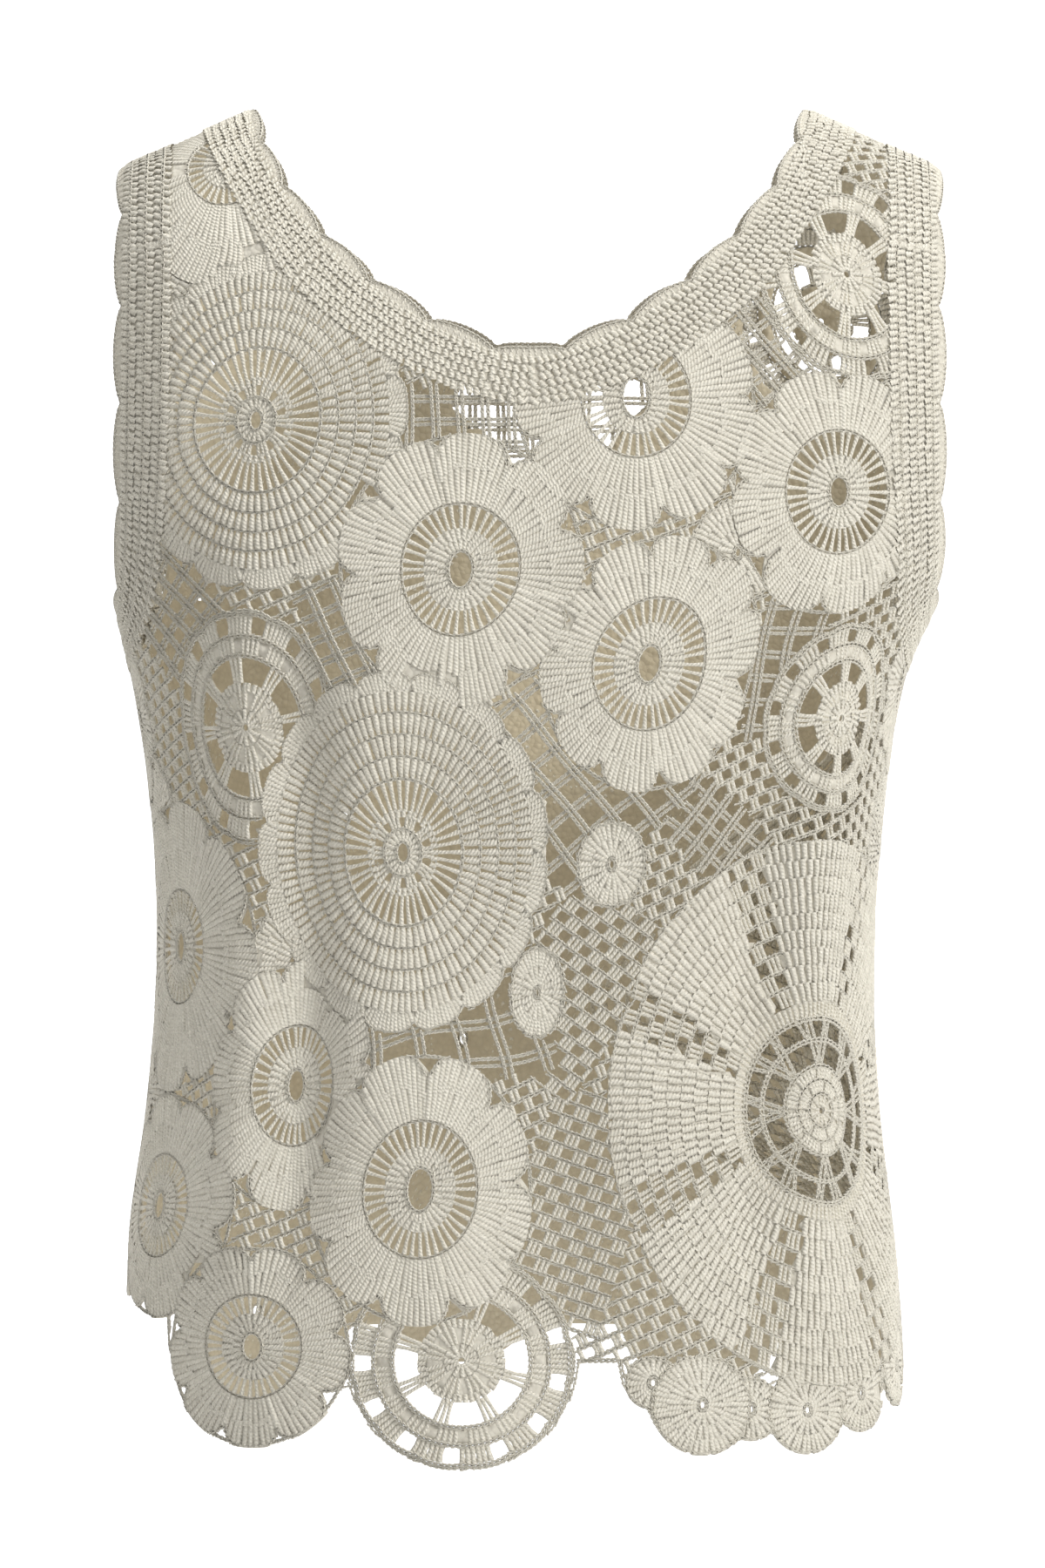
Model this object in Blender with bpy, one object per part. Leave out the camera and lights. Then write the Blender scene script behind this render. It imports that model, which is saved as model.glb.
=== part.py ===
# Crocheted tank top, filled out with no wearer: front and back panels of joined crochet motifs, a neck band and two
# armhole bands. +Z is up, the front faces -Y and +X is at the right of someone who looks at the front.
# Z = 0 is where the cloth lies on the shoulders, at the neck end of the shoulder line.
# All sizes and places below are in millimetres; MM turns them into metres when a mesh is made.

import math

import bpy
import numpy as np
from mathutils import Vector
from mathutils.geometry import delaunay_2d_cdt

MM = 0.001

# Form of the cloth's inside, level by level: half width, half depth and how far its middle lies off X = 0.
SECTIONS = (
    {"z": 0, "half_width": 112, "half_depth": 14, "mid_x": 0},
    {"z": -8, "half_width": 130, "half_depth": 30, "mid_x": 0},
    {"z": -16, "half_width": 148, "half_depth": 39, "mid_x": 0},
    {"z": -24, "half_width": 166, "half_depth": 46, "mid_x": 0},
    {"z": -36, "half_width": 177, "half_depth": 56, "mid_x": 0},
    {"z": -60, "half_width": 183, "half_depth": 71, "mid_x": 0},
    {"z": -100, "half_width": 186, "half_depth": 88, "mid_x": 0},
    {"z": -150, "half_width": 184, "half_depth": 100, "mid_x": 0},
    {"z": -190, "half_width": 175, "half_depth": 106, "mid_x": -0.5},
    {"z": -206, "half_width": 167, "half_depth": 108, "mid_x": -2},
    {"z": -222, "half_width": 161, "half_depth": 109, "mid_x": -4},
    {"z": -250, "half_width": 154.5, "half_depth": 108, "mid_x": -5},
    {"z": -292, "half_width": 149, "half_depth": 104.5, "mid_x": -5},
    {"z": -350, "half_width": 146, "half_depth": 100, "mid_x": -6},
    {"z": -407, "half_width": 149, "half_depth": 101, "mid_x": -7},
    {"z": -465, "half_width": 156, "half_depth": 105, "mid_x": -7.5},
    {"z": -500, "half_width": 158, "half_depth": 108, "mid_x": -6.5},
    {"z": -570, "half_width": 158.5, "half_depth": 113, "mid_x": -6},
)
ROUNDNESS = 2.5  # power of each level's superellipse, 2 is an ellipse

# The cloth laid flat: u runs round the body from the middle (0) to the side seam (SEAM_U), t runs up. Below YOKE_Z t is
# the height; above it t runs over the shoulder up to the shoulder line at RIDGE_T.
SEAM_U = 212
YOKE_Z = -60
RIDGE_T = 18
LOWEST_Z = -566

WALL = 2.2  # ground of the cloth
GAP = 0.3  # between two pieces at a seam

NECK = {"half_width": 115, "front_depth": 105, "back_depth": 97, "power": 1.55, "width": 17, "scallops": 13}
ARMHOLE = {"half_width": 166, "width": 20, "scallops": 6, "lowest": (-150, -230), "inward": (-1, -0.4)}
SCALLOP = {"height": 4, "steps": 4, "power": 0.6}
NECK_TOP = {"x": (112, 115), "z": (0, -1.3)}  # the shoulder line's fall at the neck's end
BAND_RIBS = (  # across a band, from its free edge (0) to its sewn edge (1)
    {"share": 0.0, "lift": 1.9},
    {"share": 0.22, "lift": 3.0},
    {"share": 0.48, "lift": 2.2},
    {"share": 0.74, "lift": 3.0},
    {"share": 1.0, "lift": 2.2},
)

# Soft folds, as ridges (+) or troughs (-): x at the top, middle and foot, height out of the form, half width. Each
# grows from nothing over these shares of its length, and none moves a seam.
FOLD_FADE = {"top": 0.3, "foot": 0.25}
SEAM_FADE = 8
FOLDS = (
    {"side": "front", "top_x": -119, "mid_x": -106, "low_x": -119, "top_z": -150, "low_z": -520, "out": 7.0, "wide": 13},
    {"side": "front", "top_x": -99, "mid_x": -84, "low_x": -95, "top_z": -180, "low_z": -500, "out": -5.6, "wide": 11},
    {"side": "front", "top_x": 127, "mid_x": 118, "low_x": 121, "top_z": -150, "low_z": -530, "out": 7.0, "wide": 12},
    {"side": "front", "top_x": 106, "mid_x": 99, "low_x": 103, "top_z": -190, "low_z": -520, "out": -5.0, "wide": 11},
    {"side": "front", "top_x": -40, "mid_x": -24, "low_x": -14, "top_z": -300, "low_z": -640, "out": 4.2, "wide": 20},
    {"side": "front", "top_x": 44, "mid_x": 52, "low_x": 62, "top_z": -340, "low_z": -640, "out": 4.2, "wide": 18},
    {"side": "front", "top_x": 20, "mid_x": 20, "low_x": 24, "top_z": -360, "low_z": -640, "out": -2.8, "wide": 14},
    {"side": "back", "top_x": -112, "mid_x": -100, "low_x": -116, "top_z": -170, "low_z": -640, "out": 6.3, "wide": 13},
    {"side": "back", "top_x": -88, "mid_x": -80, "low_x": -90, "top_z": -210, "low_z": -520, "out": -4.2, "wide": 12},
    {"side": "back", "top_x": 115, "mid_x": 104, "low_x": 112, "top_z": -160, "low_z": -500, "out": 6.3, "wide": 13},
    {"side": "back", "top_x": 30, "mid_x": 22, "low_x": 34, "top_z": -280, "low_z": -640, "out": 4.9, "wide": 20},
    {"side": "back", "top_x": -38, "mid_x": -42, "low_x": -36, "top_z": -320, "low_z": -640, "out": 4.2, "wide": 18},
)

# Motifs, each at the x and z of its middle as seen square on. Only an open rosette has its holes cut through.
MOTIFS = (
    {"side": "front", "kind": "wheel", "x": -51, "z": -305, "radius": 64, "eye": 3},
    {"side": "front", "kind": "flower", "x": -28, "z": -191, "radius": 48, "eye": 5.5},
    {"side": "front", "kind": "flower", "x": 43, "z": -121, "radius": 48, "eye": 5.5},
    {"side": "front", "kind": "flower", "x": 48, "z": -229, "radius": 46, "eye": 5.5},
    {"side": "front", "kind": "flower", "x": 125, "z": -159, "radius": 44, "eye": 5},
    {"side": "front", "kind": "wheel", "x": -111, "z": -130, "radius": 64, "eye": 3},
    {"side": "front", "kind": "flower", "x": -44, "z": -442, "radius": 48, "eye": 6},
    {"side": "front", "kind": "flower", "x": -95, "z": -400, "radius": 42, "eye": 4.5},
    {"side": "front", "kind": "flower", "x": -112, "z": -506, "radius": 39, "eye": 4},
    {"side": "front", "kind": "flower", "x": -141, "z": -348, "radius": 40, "eye": 4.5},
    {"side": "front", "kind": "flower", "x": -150, "z": -450, "radius": 42, "eye": 4.5},
    {"side": "front", "kind": "flower", "x": -124, "z": -24, "radius": 34, "eye": 3.2},
    {"side": "front", "kind": "open rosette", "x": 129, "z": -70, "radius": 39, "eye": 0},
    {"side": "front", "kind": "open rosette", "x": -116, "z": -254, "radius": 42, "eye": 0},
    {"side": "front", "kind": "open rosette", "x": -27.5, "z": -511, "radius": 39, "eye": 0},
    {"side": "front", "kind": "open rosette", "x": 122, "z": -250, "radius": 35, "eye": 0},
    {"side": "front", "kind": "doily", "x": 114, "z": -411, "radius": 100, "eye": 0},
    {"side": "back", "kind": "open rosette", "x": 122, "z": -84, "radius": 35, "eye": 0},
    {"side": "back", "kind": "wheel", "x": 84, "z": -176, "radius": 60, "eye": 3},
    {"side": "back", "kind": "wheel", "x": -78, "z": -290, "radius": 60, "eye": 3},
    {"side": "back", "kind": "wheel", "x": 62, "z": -430, "radius": 56, "eye": 3},
    {"side": "back", "kind": "flower", "x": 128, "z": -22, "radius": 34, "eye": 3.5},
    {"side": "back", "kind": "flower", "x": -132, "z": -100, "radius": 42, "eye": 4.5},
    {"side": "back", "kind": "flower", "x": -52, "z": -170, "radius": 46, "eye": 5.5},
    {"side": "back", "kind": "flower", "x": 20, "z": -262, "radius": 44, "eye": 5.5},
    {"side": "back", "kind": "flower", "x": 108, "z": -288, "radius": 44, "eye": 5},
    {"side": "back", "kind": "flower", "x": -28, "z": -385, "radius": 44, "eye": 5.5},
    {"side": "back", "kind": "flower", "x": 138, "z": -392, "radius": 40, "eye": 4.5},
    {"side": "back", "kind": "flower", "x": -112, "z": -500, "radius": 36, "eye": 4.5},
    {"side": "back", "kind": "flower", "x": -30, "z": -488, "radius": 32, "eye": 4.5},
    {"side": "back", "kind": "flower", "x": 130, "z": -498, "radius": 32, "eye": 4.5},
    {"side": "back", "kind": "close rosette", "x": -138, "z": -200, "radius": 36, "eye": 0},
    {"side": "back", "kind": "close rosette", "x": -112, "z": -398, "radius": 40, "eye": 0},
)
HANG = {"wide": 0.94, "tall": 1.09}  # the cloth's own weight draws its rounds taller than wide
ROSETTE_HOLES = (  # rings of holes: share of the radius, how many, half sizes round and out, corners, first angle
    {"share": 0.5, "count": 8, "wide": 4.2, "high": 4.8, "sides": 5, "start": 0.0},
    {"share": 0.88, "count": 7, "wide": 4.6, "high": 3.2, "sides": 4, "start": 0.2},
)
# The doily's rounds: its wide holes, and the open sectors of checkered gaps between its close ones.
DOILY = {"holes": 28, "hole_count": 8, "hole_wide": 5.2, "hole_high": 4.6, "rim": 40, "round_height": 6.55,
         "sectors": 8, "first_sector": 0.54, "close_share": 0.56, "gap": 3.9, "block_pitch": 10}
# Patches are filled with rows of gaps, turned by degrees.
PATCHES = (
    {"side": "front", "x": -28, "z": -131, "columns": 4, "rows": 3, "pitch": 9.8, "gap": 6.2, "turn": 2},
    {"side": "front", "x": 97, "z": -104, "columns": 3, "rows": 4, "pitch": 9, "gap": 5.6, "turn": 35},
    {"side": "front", "x": -146, "z": -204, "columns": 3, "rows": 4, "pitch": 9.6, "gap": 5.8, "turn": 45},
    {"side": "front", "x": -68, "z": -224, "columns": 2, "rows": 4, "pitch": 9.5, "gap": 6, "turn": 24},
    {"side": "front", "x": 18, "z": -272, "columns": 3, "rows": 4, "pitch": 12.5, "gap": 8.2, "turn": 40},
    {"side": "front", "x": 103, "z": -225, "columns": 2, "rows": 4, "pitch": 10.5, "gap": 7, "turn": 0},
    {"side": "front", "x": -30, "z": -376, "columns": 4, "rows": 2, "pitch": 16.5, "gap": 11.6, "turn": 12},
    {"side": "front", "x": 18, "z": -360, "columns": 3, "rows": 4, "pitch": 11.5, "gap": 6, "turn": -35},
    {"side": "front", "x": 18, "z": -450, "columns": 2, "rows": 5, "pitch": 11.5, "gap": 6, "turn": -20},
    {"side": "front", "x": -8, "z": -160, "columns": 3, "rows": 2, "pitch": 10, "gap": 5.5, "turn": 30},
    {"side": "back", "x": 12, "z": -128, "columns": 6, "rows": 3, "pitch": 11, "gap": 7, "turn": 0},
)
PATCH_ROWS = 0.86  # a patch's rows lie closer than its gaps in a row, by this share
EYE = {"tall": 1.15, "sides": 8}
BRIDGE = 1.9  # least cloth between two gaps
HEM_BORDER = 3.4  # least cloth between a gap and the outline

# The hem is the lower edge of these round motifs, and runs at its line between them.
HEM_LINE = {"front": -512, "back": -506}
HIGH_HEM = {"left_of": -112, "z": -481}  # and at this height on the left
HEM_ROUNDS = (
    {"side": "front", "x": -150, "z": -450, "radius": 46},
    {"side": "front", "x": -112, "z": -506, "radius": 41},
    {"side": "front", "x": -27.5, "z": -511, "radius": 44.5},
    {"side": "front", "x": 49, "z": -520, "radius": 11},
    {"side": "front", "x": 69, "z": -529, "radius": 20.5},
    {"side": "front", "x": 89, "z": -531, "radius": 13},
    {"side": "front", "x": 112, "z": -532, "radius": 18},
    {"side": "front", "x": 134, "z": -526, "radius": 16},
    {"side": "front", "x": 149, "z": -516, "radius": 17},
    {"side": "back", "x": -112, "z": -500, "radius": 38},
    {"side": "back", "x": -30, "z": -488, "radius": 34},
    {"side": "back", "x": 72, "z": -500, "radius": 34},
    {"side": "back", "x": 130, "z": -498, "radius": 34},
)
SEAM_HEM = {"left": -489, "right": -520}  # where the hem crosses the side seams
SEAM_EASE = 26  # the hem runs into that height over this width
HEM_POINTS, SEAM_POINTS, SHOULDER_POINTS = 73, 20, 4

# Rounds of each motif that stand out of the cloth: share of its radius, points, lifts of every other point.
RELIEF = (
    {"kind": "wheel", "share": 0.17, "count": 6, "high": 2.9, "low": 2.9},
    {"kind": "wheel", "share": 0.42, "count": 8, "high": 1.9, "low": 1.9},
    {"kind": "wheel", "share": 0.66, "count": 12, "high": 2.9, "low": 2.6},
    {"kind": "wheel", "share": 0.97, "count": 16, "high": 3.1, "low": 2.0},
    {"kind": "flower", "share": 0.3, "count": 6, "high": 3.0, "low": 3.0},
    {"kind": "flower", "share": 0.5, "count": 8, "high": 1.9, "low": 1.9},
    {"kind": "flower", "share": 0.94, "count": 14, "high": 3.1, "low": 2.0},
    {"kind": "open rosette", "share": 0.2, "count": 5, "high": 3.0, "low": 3.0},
    {"kind": "open rosette", "share": 0.7, "count": 8, "high": 2.7, "low": 2.7},
    {"kind": "close rosette", "share": 0.2, "count": 5, "high": 3.0, "low": 3.0},
    {"kind": "close rosette", "share": 0.45, "count": 8, "high": 1.9, "low": 1.9},
    {"kind": "close rosette", "share": 0.72, "count": 10, "high": 2.8, "low": 2.8},
    {"kind": "doily", "share": 0.08, "count": 5, "high": 3.0, "low": 3.0},
    {"kind": "doily", "share": 0.37, "count": 12, "high": 2.8, "low": 2.8},
)
RELIEF_ROOM = 7.5  # least room between two of these points
RIM_ROOM = 2.4  # least room between a point inside the cloth and its edges
GAP_REACH = 14  # no gap reaches further from its middle
GRID = {"spacing": 20, "row_share": 0.87, "rows": 34, "columns": 12, "room": 14, "edge_room": 9}

FINE = 241  # points of a curve before it is cut into equal steps
WAY_STEP = 1.5  # the way of an edge is taken over this length to either side

COTTON = (0.62, 0.585, 0.50)


def column(name):
    return np.array([row[name] for row in reversed(SECTIONS)], float)


def through(z, name):
    """A smooth curve through one column of SECTIONS, at the heights z."""
    known, values = column("z"), column(name)
    slopes = np.gradient(values, known)
    z = np.clip(z, known[0], known[-1])
    i = np.clip(np.searchsorted(known, z) - 1, 0, len(known) - 2)
    span = known[i + 1] - known[i]
    w = (z - known[i]) / span
    rise = values[i + 1] - values[i]
    return (
        values[i]
        + w * slopes[i] * span
        + w**2 * (3 * rise - (2 * slopes[i] + slopes[i + 1]) * span)
        + w**3 * ((slopes[i] + slopes[i + 1]) * span - 2 * rise)
    )


def depth_at(x, z):
    """How far the form lies in front of or behind its middle, x off the middle at height z."""
    share = np.clip(np.abs(x) / through(z, "half_width"), 0, 1)
    return through(z, "half_depth") * (1 - share**ROUNDNESS) ** (1 / ROUNDNESS)


def outward(x, y, z):
    """Unit vectors square to the form at points of its front quarter, where x >= 0 and y <= 0."""
    step = 0.5
    width, depth = through(z, "half_width"), through(z, "half_depth")
    width_slope = (through(z + step, "half_width") - through(z - step, "half_width")) / (2 * step)
    depth_slope = (through(z + step, "half_depth") - through(z - step, "half_depth")) / (2 * step)
    across, deep = np.clip(x / width, 0, 1), np.clip(-y / depth, 0, 1)
    normal = np.stack(
        (
            across ** (ROUNDNESS - 1) / width,
            -(deep ** (ROUNDNESS - 1)) / depth,
            -(across**ROUNDNESS) * width_slope / width - deep**ROUNDNESS * depth_slope / depth,
        ),
        axis=-1,
    )
    return normal / np.linalg.norm(normal, axis=-1, keepdims=True)


def even_steps(x, y, z, count):
    """The path's points set at equal steps of its length."""
    pieces = np.sqrt(np.diff(x) ** 2 + np.diff(y) ** 2 + np.diff(z) ** 2)
    run = np.concatenate(([0], np.cumsum(pieces)))
    wanted = np.linspace(0, run[-1], count)
    return [np.interp(wanted, run, values) for values in (x, y, z)]


class Form:
    """The cloth's inside as two grids of points: the body below the yoke and the yoke up to the shoulder line."""

    ROWS, YOKE_ROWS, COLUMNS = 127, 40, 106

    def __init__(self):
        self.rows = np.linspace(LOWEST_Z, YOKE_Z, self.ROWS)
        angle = np.linspace(0, math.pi / 2, FINE)
        body = []
        for z in self.rows:
            x = through(z, "half_width") * np.sin(angle) ** (2 / ROUNDNESS)
            y = -through(z, "half_depth") * np.cos(angle) ** (2 / ROUNDNESS)
            body.append(even_steps(x, y, np.full_like(x, z), self.COLUMNS))
        self.body = np.array(body).transpose(0, 2, 1)
        yoke_x = self.body[-1, :, 0]
        heights = np.linspace(0, YOKE_Z, FINE)
        widths = through(heights, "half_width")
        share = np.linspace(1, 0, FINE) ** ROUNDNESS
        yoke = []
        for x in yoke_x:
            top = np.interp(x, widths, heights)
            z = top + (YOKE_Z - top) * share
            y = -depth_at(x, z)
            if x > widths[0]:
                y[-1] = 0
            yoke.append(even_steps(np.full_like(z, x), y, z, self.YOKE_ROWS))
        self.yoke = np.array(yoke).transpose(2, 0, 1)
        self.body_out = outward(*np.moveaxis(self.body, -1, 0))
        self.yoke_out = outward(*np.moveaxis(self.yoke, -1, 0))

    def cell(self, u, t):
        """The grid, its row and its column, as fractions, where each flat point lies."""
        across = np.clip(np.abs(u) / SEAM_U, 0, 1) * (self.COLUMNS - 1)
        low = (t - LOWEST_Z) / (YOKE_Z - LOWEST_Z) * (self.ROWS - 1)
        high = (t - YOKE_Z) / (RIDGE_T - YOKE_Z) * (self.YOKE_ROWS - 1)
        return across, np.clip(low, 0, self.ROWS - 1), np.clip(high, 0, self.YOKE_ROWS - 1)

    @staticmethod
    def between(grid, row, across):
        i = np.minimum(row.astype(int), grid.shape[0] - 2)
        j = np.minimum(across.astype(int), grid.shape[1] - 2)
        a, b = (row - i)[:, None], (across - j)[:, None]
        return (1 - a) * ((1 - b) * grid[i, j] + b * grid[i, j + 1]) + a * (
            (1 - b) * grid[i + 1, j] + b * grid[i + 1, j + 1]
        )

    def place(self, side, flat, lift):
        """Flat points (u, t), lifted off the cloth's inside, as points of the garment."""
        u, t = np.asarray(flat, float).T
        across, low, high = self.cell(u, t)
        on_body = (t <= YOKE_Z)[:, None]
        point = np.where(on_body, self.between(self.body, low, across), self.between(self.yoke, high, across))
        out = np.where(on_body, self.between(self.body_out, low, across), self.between(self.yoke_out, high, across))
        way = np.stack((np.where(u < 0, -1, 1), np.full_like(u, 1 if side == "front" else -1), np.ones_like(u)), 1)
        point, out = point * way, out * way
        out /= np.linalg.norm(out, axis=1, keepdims=True)
        swell = fold_height(side, point[:, 0], point[:, 2]) * (1 - (np.abs(u) / SEAM_U) ** SEAM_FADE)
        point = point + out * (swell + lift)[:, None]
        point[:, 0] += through(point[:, 2], "mid_x")
        return point

    def flat_at(self, x, z):
        """The flat point (u, t) of the cloth seen square on at x and z."""
        off = abs(x - float(through(z, "mid_x")))
        row = np.array([(z - LOWEST_Z) / (YOKE_Z - LOWEST_Z) * (self.ROWS - 1)])
        if z <= YOKE_Z:
            steps = np.arange(self.COLUMNS, dtype=float)
            level = self.between(self.body, np.repeat(row, self.COLUMNS), steps)
            u, t = np.interp(off, level[:, 0], steps), z
        else:
            u = np.interp(off, self.body[-1, :, 0], np.arange(self.COLUMNS, dtype=float))
            rows = np.arange(self.YOKE_ROWS, dtype=float)
            line = self.between(self.yoke, rows, np.full(self.YOKE_ROWS, u))
            t = YOKE_Z + np.interp(z, line[:, 2], rows) / (self.YOKE_ROWS - 1) * (RIDGE_T - YOKE_Z)
        return math.copysign(u / (self.COLUMNS - 1) * SEAM_U, x), float(t)


def eased(value):
    value = np.clip(value, 0, 1)
    return value * value * (3 - 2 * value)


def fold_height(side, x, z):
    total = np.zeros_like(x)
    for fold in FOLDS:
        if fold["side"] != side:
            continue
        along = np.clip((fold["top_z"] - z) / (fold["top_z"] - fold["low_z"]), 0, 1)
        line = (
            fold["top_x"] * (1 - along) * (1 - 2 * along)
            + 4 * fold["mid_x"] * along * (1 - along)
            + fold["low_x"] * along * (2 * along - 1)
        )
        strength = eased(along / FOLD_FADE["top"]) * eased((1 - along) / FOLD_FADE["foot"])
        total += fold["out"] * strength * np.exp(-(((x - line) / fold["wide"]) ** 2) / 2)
    return total


def neck_path(form, side):
    """The roots of the neck's scallops, from the left shoulder line to the right, as flat points."""
    depth = NECK["front_depth"] if side == "front" else NECK["back_depth"]
    path = []
    for angle in np.linspace(0, math.pi, FINE):
        x = -math.copysign(abs(math.cos(angle)) ** (2 / NECK["power"]), math.cos(angle)) * NECK["half_width"]
        z = -(math.sin(angle) ** (2 / NECK["power"])) * depth
        path.append(form.flat_at(x, min(z, float(np.interp(abs(x), NECK_TOP["x"], NECK_TOP["z"])))))
    path[0], path[-1] = (path[0][0], RIDGE_T), (path[-1][0], RIDGE_T)
    return np.array(path)


def armhole_path(form):
    """The roots of the right armhole's scallops, from the shoulder line to the side seam, as flat points."""
    top = form.flat_at(ARMHOLE["half_width"], YOKE_Z)[0]
    path = [(top, t) for t in np.linspace(RIDGE_T, YOKE_Z, 40)]
    heights = np.linspace(*ARMHOLE["lowest"], FINE)
    lowest = np.interp(-ARMHOLE["half_width"], -through(heights, "half_width"), heights)
    share = np.linspace(1, 0, FINE) ** ROUNDNESS
    for z in lowest + (YOKE_Z - lowest) * share[1:]:
        middle = float(through(z, "mid_x"))
        path.append(form.flat_at(ARMHOLE["half_width"] + middle, z))
    path[-1] = (SEAM_U, path[-1][1])
    return np.array(path)


def stations(form, side, path, count, into_cloth):
    """Points at equal steps along an edge, and the way square to it into the cloth. Its ends keep to the seams."""
    placed = form.place(side, path, np.zeros(len(path)))
    run = np.concatenate(([0], np.cumsum(np.linalg.norm(np.diff(placed, axis=0), axis=1))))
    wanted = np.linspace(0, run[-1], count)
    points = np.stack([np.interp(wanted, run, path[:, k]) for k in (0, 1)], 1)
    ahead = np.stack([np.interp(wanted + WAY_STEP, run, path[:, k]) for k in (0, 1)], 1)
    behind = np.stack([np.interp(wanted - WAY_STEP, run, path[:, k]) for k in (0, 1)], 1)
    way = ahead - behind
    ways = np.stack((way[:, 1], -way[:, 0]), 1)
    ways /= np.linalg.norm(ways, axis=1, keepdims=True)
    ways[0], ways[-1] = into_cloth
    return points, ways


def neck_stations(form, side):
    count = NECK["scallops"] * SCALLOP["steps"] + 1
    points, ways = stations(form, side, neck_path(form, side), count, ((-1, 0), (1, 0)))
    ways[1:-1] *= np.sign((ways[1:-1] * (points[1:-1] - (0, RIDGE_T))).sum(1, keepdims=True))
    return points, ways


def armhole_stations(form):
    count = ARMHOLE["scallops"] * SCALLOP["steps"] + 1
    points, ways = stations(form, "front", armhole_path(form), count, ((-1, 0), (0, -1)))
    ways[1:-1] *= np.sign((ways[1:-1] * ARMHOLE["inward"]).sum(1, keepdims=True))
    return points, ways


def mirrored(points):
    return points * (-1, 1)


def hem_path(form, side):
    """The hem from the left side seam to the right, as flat points."""
    rounds = [(*form.flat_at(row["x"], row["z"]), row["radius"]) for row in HEM_ROUNDS if row["side"] == side]
    u = np.linspace(-SEAM_U + GAP / 2, SEAM_U - GAP / 2, HEM_POINTS)
    high_end = form.flat_at(HIGH_HEM["left_of"], HIGH_HEM["z"])[0]
    low = np.where(u < high_end, HIGH_HEM["z"], HEM_LINE[side]).astype(float)
    for centre_u, centre_t, radius in rounds:
        inside = np.abs(u - centre_u) < radius
        arc = centre_t - np.sqrt(np.where(inside, radius**2 - (u - centre_u) ** 2, 0))
        low = np.where(inside, np.minimum(low, arc), low)
    for end, sign in (("left", -1), ("right", 1)):
        share = eased(1 - (SEAM_U - sign * u) / SEAM_EASE)
        low = low * (1 - share) + SEAM_HEM[end] * share
    return np.stack((u, low), 1)


def panel_outline(form, side):
    """The panel's flat outline, anticlockwise from the foot of its left side seam."""
    hem = hem_path(form, side)
    arm_points, arm_ways = armhole_stations(form)
    arm = (arm_points + arm_ways * (ARMHOLE["width"] + GAP))[::-1]
    arm[0, 0] = SEAM_U - GAP / 2
    arm[-1, 1] = RIDGE_T - GAP / 2
    neck_points, neck_ways = neck_stations(form, side)
    neck = (neck_points + neck_ways * (NECK["width"] + GAP))[::-1]
    neck[0, 1] = neck[-1, 1] = RIDGE_T - GAP / 2
    right_seam = np.linspace(hem[-1], arm[0], SEAM_POINTS)[1:-1]
    left_seam = np.linspace(mirrored(arm)[0], hem[0], SEAM_POINTS)[1:-1]
    shoulder = np.linspace(arm[-1], neck[0], SHOULDER_POINTS)[1:-1]
    return np.concatenate(
        (hem, right_seam, arm, shoulder, neck, mirrored(shoulder)[::-1], mirrored(arm)[::-1], left_seam)
    )


def gap_shape(middle, wide, high, sides, turn):
    """A gap's outline: a polygon in an ellipse of these half sizes, turned by an angle in radians."""
    angles = (np.arange(sides) + 0.5) * 2 * math.pi / sides
    x, y = wide * np.cos(angles), high * np.sin(angles)
    cos, sin = math.cos(turn), math.sin(turn)
    return np.stack((middle[0] + x * cos - y * sin, middle[1] + x * sin + y * cos), 1)


def round_point(middle, radius, angle):
    """A point of a motif's round, which hangs taller than wide."""
    return middle[0] + radius * math.cos(angle) * HANG["wide"], middle[1] + radius * math.sin(angle) * HANG["tall"]


def ring_of_gaps(middle, radius, count, wide, high, sides, start=0.0):
    """Gaps round a motif's middle; wide runs round the ring and high runs out from the middle."""
    for k in range(count):
        angle = start + 2 * math.pi * k / count
        yield gap_shape(round_point(middle, radius, angle), high, wide, sides, angle)


def doily_gaps(form, motif):
    """The doily's ring of wide holes, then the checkered gaps of its open sectors."""
    middle = form.flat_at(motif["x"], motif["z"])
    yield from ring_of_gaps(middle, DOILY["holes"], DOILY["hole_count"], DOILY["hole_wide"], DOILY["hole_high"], 5)
    sector = 2 * math.pi / DOILY["sectors"]
    open_part = sector * (1 - DOILY["close_share"])
    for k in range(int((motif["radius"] - DOILY["rim"]) / DOILY["round_height"])):
        radius = DOILY["rim"] + (k + 0.5) * DOILY["round_height"]
        blocks = max(int(round(radius * open_part / DOILY["block_pitch"])), 1)
        for s in range(DOILY["sectors"]):
            start = DOILY["first_sector"] + s * sector + sector * DOILY["close_share"]
            for block in range(blocks):
                angle = start + (block + 0.8 - 0.4 * (k % 2)) * open_part / blocks
                at = round_point(middle, radius, angle)
                if not any(is_covered(form, other, at) for other in MOTIFS if other is not motif):
                    yield gap_shape(at, DOILY["gap"], DOILY["gap"], 4, angle)


def is_covered(form, motif, at):
    """Whether a flat point of the front lies under this motif."""
    middle = form.flat_at(motif["x"], motif["z"])
    off = (at[0] - middle[0]) / HANG["wide"], (at[1] - middle[1]) / HANG["tall"]
    return motif["side"] == "front" and math.hypot(*off) < motif["radius"]


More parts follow.
